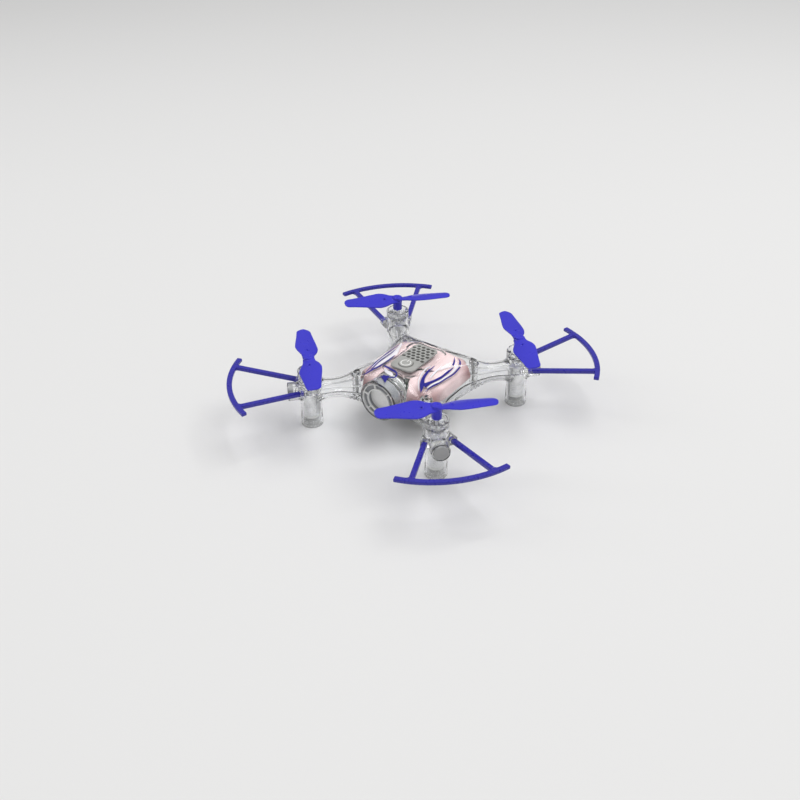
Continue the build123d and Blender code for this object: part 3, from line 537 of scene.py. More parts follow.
@dataclass(frozen=True)
class PinkLining:
    """Satin lining, paler on the roof, with painted shade: dark red towards the body's corners."""

    name: str = "lining_pink"
    pale: tuple[float, float, float] = (0.80, 0.61, 0.61)
    # Painted shade: the dark red the lining turns towards the body's corners.
    painted_corner_shade: tuple[float, float, float] = (0.30, 0.13, 0.13)

    def material(self) -> bpy.types.Material:
        """Build the material."""
        s = Shader(self.name)
        split = s.node("ShaderNodeSeparateXYZ", {0: s.place})
        x = s.maths("ABSOLUTE", split.outputs[0])
        y = s.maths("ABSOLUTE", split.outputs[1])
        # Painted shade mask: grows with |x| + |y| towards the body's corners.
        corner = s.span(s.maths("ADD", x, y), 0.0, 1.0, 0.0255, 0.0335)
        cloud = s.noise(160.0, 3.0)
        pale = s.blend(s.span(cloud, 0.0, 1.0), rgba(self.pale, 0.95), rgba(self.pale, 1.06))
        colour = s.blend(s.maths("MULTIPLY", corner, s.span(cloud, 0.7, 1.0)), pale, rgba(self.painted_corner_shade))
        shader = s.node("ShaderNodeBsdfPrincipled", {
            "Base Color": colour, "Roughness": s.span(s.noise(3000.0, 3.0), 0.35, 0.5),
            "Normal": s.bump(s.noise(5000.0), 0.000008), "Coat Weight": 0.2})
        return s.surface(shader.outputs[0])


@dataclass(frozen=True)
class CircuitBoard:
    """Green solder mask with raised copper tracks."""

    name: str = "board_green"

    def material(self) -> bpy.types.Material:
        """Build the material."""
        s = Shader(self.name)
        cells = s.node("ShaderNodeTexVoronoi", {"Vector": s.place, "Scale": 420.0}, distance="CHEBYCHEV",
                       feature="DISTANCE_TO_EDGE" if False else "F1")
        tracks = s.node("ShaderNodeTexWave", {"Vector": s.place, "Scale": 210.0, "Distortion": 6.0,
                                              "Detail Scale": 90.0}, wave_profile="SIN")
        mask = s.span(tracks.outputs[1], 0.0, 1.0, 0.55, 0.62)
        mask = s.maths("MULTIPLY", mask, s.span(cells.outputs[0], 1.0, 0.0, 0.5, 0.55))
        colour = s.blend(mask, (0.01, 0.09, 0.035, 1), (0.03, 0.24, 0.09, 1))
        shader = s.node("ShaderNodeBsdfPrincipled", {
            "Base Color": colour, "Roughness": s.span(s.noise(2000.0), 0.25, 0.4),
            "Normal": s.bump(mask, 0.00003), "Coat Weight": 0.3})
        return s.surface(shader.outputs[0])


class Shop:
    """All finishes by name, each built once."""

    def __init__(self) -> None:
        """Build every finish."""
        finishes = (
            ClearPlastic("clear_plastic", (0.985, 0.99, 0.992), 0.012, 0.012, 0.00001, 0.97),
            ClearPlastic("foot_clear", (0.985, 0.985, 0.985), 0.2, 0.35),
            ClearPlastic("smoke_plastic", (0.42, 0.43, 0.45), 0.12, 0.6),
            ClearPlastic("led_epoxy", (0.97, 0.97, 0.93), 0.05, 0.1),
            # Partly own light grey, partly painted light: lightened to offset the shade in the barrel's recess where
            # the window sits.
            Plastic("window_grey", (0.82, 0.82, 0.80), 0.25, 2500.0, 0.000003, 0.05, 0.5),
            Plastic("blue_plastic", (0.030, 0.026, 0.56), 0.33, 9000.0, 0.0000015, 0.03, 0.15),
            PinkLining(),
            # Painted shade: a darker copy of blue_plastic for the guards, so that they read as shaded.
            Plastic("guard_blue", (0.018, 0.014, 0.33), 0.3, 9000.0, 0.0000015, 0.03, 0.3),
            Plastic("deck_grey", (0.40, 0.40, 0.385), 0.38, 7000.0, 0.00001, 0.12),
            Plastic("lamp_grey", (0.33, 0.33, 0.33), 0.2, 2500.0, 0.000003, 0.1, 0.5),
            # Painted shade: near black for the sheet under the deck's vents.
            Plastic("deck_dark", (0.03, 0.03, 0.03), 0.6, 7000.0, 0.00002, 0.1),
            # White plastic for the real white parts; the same white paints highlights on the headlight bezel and the
            # button's rim.
            Plastic("white_plastic", (0.80, 0.80, 0.78), 0.35, 4000.0, 0.00001, 0.05, 0.1),
            Plastic("chip_black", (0.016, 0.016, 0.018), 0.42, 9000.0, 0.00001, 0.2),
            Plastic("foam", (0.03, 0.03, 0.03), 0.9, 9000.0, 0.00006, 0.2),
            Plastic("wire_pale", (0.55, 0.55, 0.56), 0.35, 3000.0, 0.00001, 0.1, 0.2),
            Plastic("wire_white", (0.75, 0.75, 0.75), 0.35, 3000.0, 0.00001, 0.1, 0.2),
            Plastic("silicone", (0.5, 0.5, 0.5), 0.6, 3000.0, 0.00001, 0.05, 0.0, 0.3),
            Plastic("print_blue", (0.012, 0.010, 0.26), 0.4, 4000.0, 0.000001, 0.03),
            # White ink for the print, also used for the painted highlight streak on the +X side of the roof.
            Plastic("print_white", (0.90, 0.88, 0.93), 0.4, 4000.0, 0.000001, 0.02),
            Plastic("cell_wrap", (0.42, 0.30, 0.06), 0.28, 900.0, 0.00004, 0.15, 0.4),
            Metal("motor_steel", (0.93, 0.93, 0.93), 0.3),
            Metal("shaft_steel", (0.72, 0.72, 0.73), 0.15),
            Metal("screw_steel", (0.56, 0.56, 0.54), 0.3, (3000.0, 3000.0, 3000.0)),
            Metal("mirror_silver", (0.88, 0.88, 0.88), 0.12, (800.0, 800.0, 800.0)),
            Metal("cell_foil", (0.62, 0.62, 0.64), 0.35, (500.0, 2500.0, 500.0)),
            CircuitBoard(),
        )
        self.made = {finish.name: finish.material() for finish in finishes}

    def __getitem__(self, name: str) -> bpy.types.Material:
        """One finish."""
        return self.made[name]


# ---------------------------------------------------------------- repeating pieces


class Repeater:
    """Geometry Nodes trees for what repeats around an axis or follows a path."""

    def __init__(self) -> None:
        """Build each tree once."""
        self.ring = self._ring_tree()
        self.sweep = self._sweep_tree()
        self.scatter = self._scatter_tree()

    @staticmethod
    def _tree(name: str, sockets: Iterable[tuple[str, str]]) -> bpy.types.NodeTree:
        """Empty tree with geometry in and out and the named inputs."""
        tree = bpy.data.node_groups.new(name, "GeometryNodeTree")
        tree.interface.new_socket("Geometry", in_out="INPUT", socket_type="NodeSocketGeometry")
        for label, kind in sockets:
            tree.interface.new_socket(label, in_out="INPUT", socket_type=kind)
        tree.interface.new_socket("Geometry", in_out="OUTPUT", socket_type="NodeSocketGeometry")
        return tree

    def _ring_tree(self) -> bpy.types.NodeTree:
        """Boxes set around Z at a radius, each turned to face outwards."""
        tree = self._tree("ring_of_ribs", (("Count", "NodeSocketInt"), ("Radius", "NodeSocketFloat"),
                                           ("Rib Size", "NodeSocketVector"), ("Finish", "NodeSocketMaterial")))
        new, link = tree.nodes.new, tree.links.new
        given, out = new("NodeGroupInput"), new("NodeGroupOutput")
        ring, box, place = new("GeometryNodeMeshCircle"), new("GeometryNodeMeshCube"), new("GeometryNodeInstanceOnPoints")
        turn, position = new("FunctionNodeAlignRotationToVector"), new("GeometryNodeInputPosition")
        real, finish = new("GeometryNodeRealizeInstances"), new("GeometryNodeSetMaterial")
        turn.axis = "X"
        turn.pivot_axis = "Z"
        link(given.outputs["Count"], ring.inputs["Vertices"])
        link(given.outputs["Radius"], ring.inputs["Radius"])
        link(given.outputs["Rib Size"], box.inputs["Size"])
        link(ring.outputs["Mesh"], place.inputs["Points"])
        link(box.outputs["Mesh"], place.inputs["Instance"])
        link(position.outputs[0], turn.inputs["Vector"])
        link(turn.outputs[0], place.inputs["Rotation"])
        link(place.outputs[0], real.inputs[0])
        link(real.outputs[0], finish.inputs["Geometry"])
        link(given.outputs["Finish"], finish.inputs["Material"])
        link(finish.outputs[0], out.inputs[0])
        return tree

    def _sweep_tree(self) -> bpy.types.NodeTree:
        """Round wire along the edges of the given mesh."""
        tree = self._tree("wire_along_path", (("Radius", "NodeSocketFloat"), ("Sides", "NodeSocketInt"),
                                              ("Finish", "NodeSocketMaterial")))
        new, link = tree.nodes.new, tree.links.new
        given, out = new("NodeGroupInput"), new("NodeGroupOutput")
        line, ring, tube = new("GeometryNodeMeshToCurve"), new("GeometryNodeCurvePrimitiveCircle"), new(
            "GeometryNodeCurveToMesh")
        smooth, real = new("GeometryNodeSetShadeSmooth"), new("GeometryNodeRealizeInstances")
        finish = new("GeometryNodeSetMaterial")
        link(given.outputs["Geometry"], line.inputs["Mesh"])
        link(given.outputs["Sides"], ring.inputs["Resolution"])
        link(given.outputs["Radius"], ring.inputs["Radius"])
        link(line.outputs[0], tube.inputs["Curve"])
        link(ring.outputs[0], tube.inputs["Profile Curve"])
        tube.inputs["Fill Caps"].default_value = True
        link(tube.outputs[0], smooth.inputs["Geometry"])
        link(smooth.outputs[0], real.inputs[0])
        link(real.outputs[0], finish.inputs["Geometry"])
        link(given.outputs["Finish"], finish.inputs["Material"])
        link(finish.outputs[0], out.inputs[0])
        return tree

    def _scatter_tree(self) -> bpy.types.NodeTree:
        """Copies of a piece on the points of the given mesh."""
        tree = self._tree("pieces_on_points", (("Piece", "NodeSocketObject"), ("Finish", "NodeSocketMaterial")))
        new, link = tree.nodes.new, tree.links.new
        given, out = new("NodeGroupInput"), new("NodeGroupOutput")
        model, place = new("GeometryNodeObjectInfo"), new("GeometryNodeInstanceOnPoints")
        real, finish = new("GeometryNodeRealizeInstances"), new("GeometryNodeSetMaterial")
        link(given.outputs["Piece"], model.inputs["Object"])
        link(given.outputs["Geometry"], place.inputs["Points"])
        link(model.outputs["Geometry"], place.inputs["Instance"])
        link(place.outputs[0], real.inputs[0])
        link(real.outputs[0], finish.inputs["Geometry"])
        link(given.outputs["Finish"], finish.inputs["Material"])
        link(finish.outputs[0], out.inputs[0])
        return tree

    @staticmethod
    def run(tree: bpy.types.NodeTree, source: bpy.types.Mesh, **values: object) -> bpy.types.Mesh:
        """Plain mesh of a tree run on a source mesh, inputs given by name with _ for spaces."""
        holder = bpy.data.objects.new("holder", source)
        bpy.context.scene.collection.objects.link(holder)
        modifier = holder.modifiers.new("nodes", "NODES")
        modifier.node_group = tree
        wanted = {name.replace("_", " ").lower(): value for name, value in values.items()}
        for item in tree.interface.items_tree:
            if item.in_out == "INPUT" and item.name.lower() in wanted:
                modifier[item.identifier] = wanted[item.name.lower()]
        mesh = evaluated(holder)
        bpy.data.objects.remove(holder)
        return mesh

    def ribs(self, count: int, radius: float, size: tuple[float, float, float], height: float,
             finish: bpy.types.Material) -> bpy.types.Mesh:
        """Ring of boxes around Z, its middle at a height, in millimetres."""
        mesh = self.run(self.ring, bpy.data.meshes.new("seed"), count=count, radius=radius * MM,
                        rib_size=tuple(value * MM for value in size), finish=finish)
        mesh.transform(Matrix.Translation((0, 0, height * MM)))
        return mesh

    def wire(self, points: Sequence[Sequence[float]], radius: float, finish: bpy.types.Material) -> bpy.types.Mesh:
        """Round wire on a smooth line through control points, in millimetres."""
        curve = bpy.data.curves.new("route", "CURVE")
        curve.dimensions = "3D"
        spline = curve.splines.new("NURBS")
        spline.points.add(len(points) - 1)
        for target, point in zip(spline.points, points):
            target.co = (point[0] * MM, point[1] * MM, point[2] * MM, 1.0)
        spline.order_u = 3
        spline.use_endpoint_u = True
        spline.resolution_u = 8
        holder = bpy.data.objects.new("route", curve)
        bpy.context.scene.collection.objects.link(holder)
        line = evaluated(holder)
        bpy.data.objects.remove(holder)
        return self.run(self.sweep, line, radius=radius * MM, sides=12, finish=finish)


def joined(meshes: Sequence[bpy.types.Mesh], name: str) -> bpy.types.Mesh:
    """One mesh that holds the others, each keeping its faces' materials."""
    work = bmesh.new()
    slots: list[bpy.types.Material] = []
    for mesh in meshes:
        first = len(work.faces)
        work.from_mesh(mesh)
        work.faces.ensure_lookup_table()
        for face in work.faces[first:]:
            finish = mesh.materials[face.material_index] if mesh.materials else None
            if finish not in slots:
                slots.append(finish)
            face.material_index = slots.index(finish)
    result = bpy.data.meshes.new(name)
    work.to_mesh(result)
    work.free()
    for finish in slots:
        result.materials.append(finish)
    return result


# ---------------------------------------------------------------- body


class Half(Enum):
    """Which of the two shells."""

    UPPER = 1
    LOWER = -1


@dataclass
class BodyForm:
    """The outside of the moulded body, arms and pods, and what is hollow in them."""

    axis_z: float = 18.0
    motor_radius: float = 48.0
    wall: float = 1.0
    floor_z: float = 8.4
    crown_z: float = 28.0
    corner: float = 8.0
    pad_half_x: float = 9.4
    pad_half_y: float = 14.5
    pad_top_z: float = 29.2
    deck_y: float = -1.0
    pod_top_z: float = 28.5
    pod_bottom_z: float = 1.2
    bore_r: float = 4.1
    lamp_r: float = 3.5
    lamp_reach: float = 10.2
    barrel_z: float = 21.6
    screw_radius: float = 26.9
    screw_top_z: float = 24.1

    def __post_init__(self) -> None:
        """Lay out the profiles that the forms follow."""
        sides = ((8.4, 17.5), (13.3, 20.8), (18.0, 21.5), (24.4, 20.3))
        self.half_x = Profile(sides + ((28.2, 10.8),), 1.3)
        self.half_y = Profile(sides + ((28.2, 16.6),), 1.3)
        self.arm_r = Profile(((18.0, 8.0), (26.9, 6.9), (34.0, 4.65), (38.6, 4.35), (43.5, 5.1), (47.0, 5.15)), 1.6)
        self.pod_r = Profile(((1.2, 5.0), (8.0, 4.75), (14.0, 4.9), (20.5, 5.3), (28.5, 5.35)), 1.5)
        self.hood_r = Profile(((-22.0, 9.1), (-13.2, 8.0)), 0.5)

    def roof(self, x: np.ndarray, y: np.ndarray, z: np.ndarray) -> np.ndarray:
        """Distance to the body's closed form without its pad."""
        across = rectangle(x, y, self.half_x(z), self.half_y(z), self.corner)
        across = across / np.sqrt(1 + self.half_x.slope(z) ** 2)
        form = smooth_max(across, self.floor_z - z, 1.6)
        return smooth_max(form, z - self.crown_z, 0.8)

    def body(self, x: np.ndarray, y: np.ndarray, z: np.ndarray) -> np.ndarray:
        """Distance to the body's closed form with its pad."""
        taper = 0.45 * np.clip(z - 28.0, 0, 3)
        pad = rectangle(x, y - self.deck_y, self.pad_half_x - taper, self.pad_half_y - taper, 4.2)
        pad = smooth_max(pad, z - self.pad_top_z, 0.5)
        pad = np.maximum(pad, 25.0 - z)
        return smooth_min(self.roof(x, y, z), pad, 0.7)

    def arm(self, u: np.ndarray, v: np.ndarray, z: np.ndarray) -> np.ndarray:
        """Distance to an arm's round waist; ridges run around the underside of its root."""
        window = np.clip((u - 22.5) / 1.5, 0, 1) * np.clip((32.0 - u) / 1.5, 0, 1) * np.clip((16.0 - z) / 1.5, 0, 1)
        ridge = 0.2 * np.cos(2 * math.pi * u / 1.7) * window
        form = (np.hypot(v, z - self.axis_z) - self.arm_r(u) - ridge) * 0.96
        return np.maximum(np.maximum(form, u - 47.0), 12.0 - u)

    def pod(self, u: np.ndarray, v: np.ndarray, z: np.ndarray) -> np.ndarray:
        """Distance to a pod with its lamp socket and the two sockets for the guard."""
        off = u - self.motor_radius
        form = np.hypot(off, v) - self.pod_r(z)
        form = smooth_max(form, z - self.pod_top_z, 0.5)
        form = smooth_max(form, self.pod_bottom_z - z, 0.4)
        lamp = np.hypot(v, z - self.axis_z) - self.lamp_r - 0.7
        lamp = smooth_max(lamp, off - self.lamp_reach, 0.4)
        form = smooth_min(form, np.maximum(lamp, -off), 1.4)
        along, side, rise = GuardForm.spoke_axes(off, np.abs(v), z)
        grip = np.maximum(rectangle(side, rise, 1.85, 1.65, 0.6), np.abs(along + 0.4) - 2.55)
        return smooth_min(form, grip, 1.0)

    def hood(self, x: np.ndarray, y: np.ndarray, z: np.ndarray, inset: float) -> np.ndarray:
        """Distance to the hood that carries the barrel over the front of the roof."""
        form = np.hypot(x, z - self.barrel_z) - self.hood_r(y) + inset
        form = np.maximum(form, -22.0 - y + (-2.0 if inset else 0.0))
        form = smooth_max(form, y + 13.2 + inset, 1.0)
        front_only = np.where(z < self.axis_z - 0.2, y + 20.9, -9.0)
        return np.maximum(form, front_only)

    def outside(self, x: np.ndarray, y: np.ndarray, z: np.ndarray) -> np.ndarray:
        """Distance to everything that the two shells enclose."""
        u, v = (np.abs(x) + np.abs(y)) * HALF_ROOT, (np.abs(x) - np.abs(y)) * HALF_ROOT
        form = smooth_min(self.body(x, y, z), self.arm(u, v, z), 5.0)
        form = smooth_min(form, self.hood(x, y, z, 0.0), 0.9)
        return smooth_min(form, self.pod(u, v, z), 1.6)

    def hollow(self, x: np.ndarray, y: np.ndarray, z: np.ndarray) -> np.ndarray:
        """Distance to the room inside body, arms, pods, lamps and hood."""
        u, v = (np.abs(x) + np.abs(y)) * HALF_ROOT, (np.abs(x) - np.abs(y)) * HALF_ROOT
        off = u - self.motor_radius
        room = smooth_min(self.body(x, y, z), self.arm(u, v, z), 5.0) + self.wall
        about = np.hypot(off, v)
        bore = polygon(about, z, ((0, 0), (self.bore_r, 0), (self.bore_r, 25.4), (1.7, 21.2), (0, 21.2)))
        cup = polygon(about, z, ((0, 22.0), (1.1, 22.0), (4.45, 26.6), (4.45, 30), (0, 30)))
        neck = np.maximum(about - 1.1, np.abs(z - 22.0) - 1.5)
        lamp = np.maximum(np.hypot(v, z - self.axis_z) - self.lamp_r, -off)
        for part in (bore, cup, neck, lamp, self.hood(x, y, z, self.wall)):
            room = np.minimum(room, part)
        spigot = np.maximum(np.hypot(x, z - self.barrel_z) - 8.0, y + 17.6)
        socket = np.maximum(np.abs(x - 2.6) - 4.1, np.abs(z - 20.7) - 1.6)
        socket = np.maximum(socket, 14.0 - y)
        along, side, rise = GuardForm.spoke_axes(off, np.abs(v), z)
        grip = np.maximum(rectangle(side, rise, 1.24, 1.04, 0.3), -along)
        for part in (spigot, socket, grip):
            room = np.minimum(room, part)
        return room

    def shell(self, x: np.ndarray, y: np.ndarray, z: np.ndarray, half: Half) -> np.ndarray:
        """Distance to one of the two clear shells."""
        u, v = (np.abs(x) + np.abs(y)) * HALF_ROOT, (np.abs(x) - np.abs(y)) * HALF_ROOT
        form = smooth_max(self.outside(x, y, z), -self.hollow(x, y, z), 0.3)
        screw = np.hypot(u - self.screw_radius, v)
        post = np.maximum(screw - 1.9, z - self.screw_top_z - 0.3)
        post = np.maximum(post, 12.0 - z)
        form = smooth_min(form, post, 0.5)
        if half is Half.UPPER:
            hole = np.minimum(np.maximum(screw - 1.34, 22.95 - z), screw - 0.72)
            button = np.hypot(x, y + 7.5) - 1.65
            form = smooth_max(form, -np.minimum(hole, np.maximum(button, 20 - z)), 0.2)
            return smooth_max(form, self.axis_z + 0.04 - z, 0.14)
        hole = np.maximum(screw - 0.62, 13.0 - z)
        form = np.maximum(form, -hole)
        for place_x, place_y in ((10.6, -10.6), (8.7, 16.2)):
            boss = np.hypot(np.abs(x) - place_x, y - place_y)
            boss = smooth_max(boss - 1.8, z - 18.55, 0.2)
            boss = np.maximum(np.maximum(boss, 8.9 - z), 0.7 - np.hypot(np.abs(x) - place_x, y - place_y))
            form = np.where(z < 18.7, smooth_min(form, boss, 0.5), form)
        door = np.maximum(np.abs(x) - 8.45, np.abs(y) - 14.15)
        ear = np.maximum(np.abs(x) - 2.55, np.abs(y - 15.0) - 3.2)
        door = np.maximum(np.minimum(door, ear), z - 9.4)
        form = smooth_max(form, -door, 0.2)
        seat = np.maximum(rectangle(x, y - 17.1, 4.0, 1.9, 0.4), np.abs(z - 11.2) - 1.75)
        form = smooth_min(form, seat, 0.3)
        join = np.minimum(z - self.axis_z + 0.04, 9.0)
        plain = smooth_max(form, join, 0.14)
        bosses = np.minimum(np.hypot(np.abs(x) - 10.6, y + 10.6), np.hypot(np.abs(x) - 8.7, y - 16.2)) - 2.2
        return np.where(bosses < 0, form, plain)


@dataclass
class GuardForm:
    """A curved bumper with two spokes; distances are from the motor axis, along the arm."""

    reach: float = 35.6
    arc_r: float = 50.0
    half_span: float = 23.0
    arc_z: float = 23.4
    root: tuple[float, float, float] = (3.6, 5.5, 20.0)
    spread: float = 16.8

    @staticmethod
    def spoke_axes(off: np.ndarray, v: np.ndarray, z: np.ndarray) -> tuple[np.ndarray, np.ndarray, np.ndarray]:
        """Coordinates along, beside and above a spoke that starts at its root."""
        form = GuardForm()
        root = np.array(form.root)
        out = form.reach - form.arc_r + math.sqrt(form.arc_r ** 2 - form.spread ** 2)
        way = np.array((out, form.spread, form.arc_z - 0.05)) - root
        way = way / np.linalg.norm(way)
        side = np.array((-way[1], way[0], 0.0)) / math.hypot(way[0], way[1])
        rise = np.cross(way, side)
        delta = (off - root[0], v - root[1], z - root[2])
        return tuple(sum(d * axis[i] for i, d in enumerate(delta)) for axis in (way, side, rise))

    def distance(self, off: np.ndarray, v: np.ndarray, z: np.ndarray) -> np.ndarray:
        """Distance to the guard, off along the arm from the motor axis."""
        from_centre = off - self.reach + self.arc_r
        angle = np.arctan2(np.abs(v), from_centre)
        half_angle = math.asin(self.half_span / self.arc_r)
        arc = rectangle(np.hypot(from_centre, v) - self.arc_r, z - self.arc_z, 1.2, 0.8, 0.35)
        arc = smooth_max(arc, (angle - half_angle) * self.arc_r, 0.4)
        along, side, rise = self.spoke_axes(off, np.abs(v), z)
        spoke = rectangle(side, rise, 1.15, 0.95, 0.4)
        spoke = smooth_max(smooth_max(spoke, 0.1 - along, 0.3), np.hypot(from_centre, v) - self.arc_r, 0.3)
        return smooth_min(arc, spoke, 1.2)


@dataclass
class PropellerForm:
    """A two-blade propeller about Z; blades lie along Y. turn is 1 anticlockwise, -1 clockwise."""

    turn: float
    radius: float = 26.0
    blade_z: float = 34.1
    hub_r: float = 2.2
    hub_low: float = 28.9
    hub_high: float = 35.6

    def __post_init__(self) -> None:
        """Lay out chord, pitch and thickness along a blade."""
        self.chord = Profile(((0, 5.2), (3.4, 6.0), (6.0, 9.0), (9.0, 10.6), (13.0, 9.7), (17.5, 8.2), (22.0, 7.0),
                              (26.0, 6.2)), 0.7)
        self.pitch = Profile(((0, 15.0), (6.0, 15.5), (9.0, 13.5), (13.0, 10.5), (17.5, 8.4), (22.0, 6.6),
                              (26.0, 6.0)), 1.0)

    def distance(self, x: np.ndarray, y: np.ndarray, z: np.ndarray) -> np.ndarray:
        """Distance to the propeller."""
        side = np.where(y < 0, -1.0, 1.0)
        out, across = np.abs(y), x * side
        pitch = np.radians(self.pitch(out)) * -self.turn
        run = across * np.cos(pitch) + (z - self.blade_z) * np.sin(pitch)
        rise = -across * np.sin(pitch) + (z - self.blade_z) * np.cos(pitch)
        tip = np.clip(1 - (np.maximum(out - 23.4, 0) / 2.6) ** 2.6, 0, 1) ** 0.5
        half = np.maximum(self.chord(out) * 0.5 * tip, 0.02)
        plan = (np.abs(run) - half) * 0.85
        plan = np.maximum(plan, out - self.radius)
        camber = 0.35 * (1 - np.clip(run / half, -1, 1) ** 2) * np.clip(out / 6.0, 0, 1)
        thick = (0.62 - 0.28 * out / self.radius) * (0.55 + 0.45 * (1 - np.clip(run / half, -1, 1) ** 2))
        blade = smooth_max(np.abs(rise - camber) - thick, plan, 0.35)
        mark = np.hypot(run, out - 6.4)
        ring = np.hypot(mark - 1.0, rise - camber - thick) - 0.2
        blade = smooth_max(smooth_min(blade, ring, 0.2), 0.4 - mark, 0.2)
        hub = smooth_max(np.hypot(x, y) - self.hub_r, np.abs(z - (self.hub_low + self.hub_high) / 2)
                         - (self.hub_high - self.hub_low) / 2, 0.5)
        hub = smooth_max(hub, -(np.hypot(np.hypot(x, y), z - self.hub_high - 0.9) - 1.4), 0.2)
        groove = np.hypot(np.hypot(x, y) - self.hub_r, z - 31.2) - 0.16
        hub = smooth_max(hub, -groove, 0.1)
        return smooth_min(blade, hub, 0.9)


def turned_copies(points: np.ndarray, angle: float, offset: float) -> np.ndarray:
    """Points moved out along X and then turned about Z by an angle in degrees."""
    c, s = math.cos(math.radians(angle)), math.sin(math.radians(angle))
    moved = points + np.array((offset, 0, 0))
    return np.stack([moved[:, 0] * c - moved[:, 1] * s, moved[:, 0] * s + moved[:, 1] * c, moved[:, 2]], 1)


# ---------------------------------------------------------------- sub-assemblies


@dataclass
class Arm:
    """One arm's name, its direction, and which way its rotor turns."""

    name: str
    angle: float
    turn: float


ARMS = (Arm("rear_right", 45, 1), Arm("rear_left", 135, -1), Arm("front_left", 225, 1), Arm("front_right", 315, -1))
MOTOR_RADIUS = 48.0


def on_arms(points: np.ndarray, arm: Arm) -> np.ndarray:
    """Points given from a motor's axis, moved to one arm."""
    return turned_copies(points, arm.angle, MOTOR_RADIUS)


def lathe(name: str, points: Stations, radius: float = 0.12, segments: int = 72) -> bpy.types.Mesh:
    """Closed turned form about Z with rounded corners, in millimetres."""
    mesh = mesh_from(name, *turned(rounded(points, radius), segments))
    return clean(mesh, 35.0)


def placed(mesh: bpy.types.Mesh, matrix: Matrix) -> bpy.types.Mesh:
    """The mesh moved by a matrix whose offsets are in millimetres."""
    shift = matrix.copy()
    shift.translation = matrix.translation * MM
    mesh.transform(shift)
    return mesh


def facing_front(height: float) -> Matrix:
    """Turns a form built along +Z so that it runs along +Y, its axis at a height."""
    return Matrix.Translation((0, 0, height)) @ Matrix.Rotation(math.radians(-90), 4, "X")


def facing_out(arm: Arm, height: float) -> Matrix:
    """Turns a form built along +Z so that it runs outwards from an arm's motor axis."""
    turn = Matrix.Rotation(math.radians(arm.angle), 4, "Z")
    return turn @ Matrix.Translation((MOTOR_RADIUS, 0, height)) @ Matrix.Rotation(math.radians(90), 4, "Y")


@dataclass
class ClearShells:
    """The two clear shells of body, arms and pods."""

    form: BodyForm
    shop: Shop
    step: float = 0.41
    reach: float = 45.4

    def build(self) -> None:
        """Mesh both shells."""
        for half, name, low, high in ((Half.UPPER, "upper_shell", 17.5, 31.0), (Half.LOWER, "lower_shell", 0.4, 19.4)):
            moulding = Moulding(lambda x, y, z, side=half: self.form.shell(x, y, z, side),
                                (-self.reach, -self.reach, low), (self.reach, self.reach, high), self.step)
            mesh = mesh_from(name, *moulding.net())
            piece = add_object("clear_" + name, mesh, self.shop["clear_plastic"])
            settle_piece(piece, "airframe", "clear_plastic", name)


@dataclass
class Canopy:
    """The pink lining under the upper shell."""

    form: BodyForm
    shop: Shop
    outer: float = 1.1
    inner: float = 1.9

    def distance(self, x: np.ndarray, y: np.ndarray, z: np.ndarray) -> np.ndarray:
        """Distance to the lining."""
        u, v = (np.abs(x) + np.abs(y)) * HALF_ROOT, (np.abs(x) - np.abs(y)) * HALF_ROOT
        roof = self.form.roof(x, y, z)
        form = smooth_max(roof + self.outer, -roof - self.inner, 0.2)
        notch = 3.9 - np.hypot(u - self.form.screw_radius, v)
        arch = np.minimum(self.form.hood_r(y) + 0.15 - np.hypot(x, z - self.form.barrel_z), -13.0 - y)
        arch = np.where(y < -22.0, 9.4 - np.hypot(x, z - self.form.barrel_z), arch)
        port = np.minimum(np.minimum(4.2 - np.abs(x - 2.6), 1.75 - np.abs(z - 20.7)), y - 14)
        button = 1.7 - np.hypot(x, y + 7.5)
        for cut in (notch, arch, port, button, 18.4 - z):
            form = smooth_max(form, cut, 0.2)
        return form

    def height(self, x: np.ndarray, y: np.ndarray, lift: float) -> np.ndarray:
        """Height of the lining's outer face over points in plan, raised by a lift."""
        low, high = np.full(x.shape, 19.0), np.full(x.shape, 29.0)
        for _ in range(34):
            middle = (low + high) / 2
            outside = self.form.roof(x, y, middle) + self.outer - lift > 0
            high = np.where(outside, middle, high)
            low = np.where(outside, low, middle)
        return (low + high) / 2

    def build(self) -> None:
        """Mesh the lining."""
        moulding = Moulding(self.distance, (-21.4, -21.4, 17.8), (21.4, 21.4, 28.0), 0.33)
        piece = add_object("pink_lining", mesh_from("pink_lining", *moulding.net()), self.shop["lining_pink"])
        settle_piece(piece, "airframe", "lining_pink", "inner_canopy")


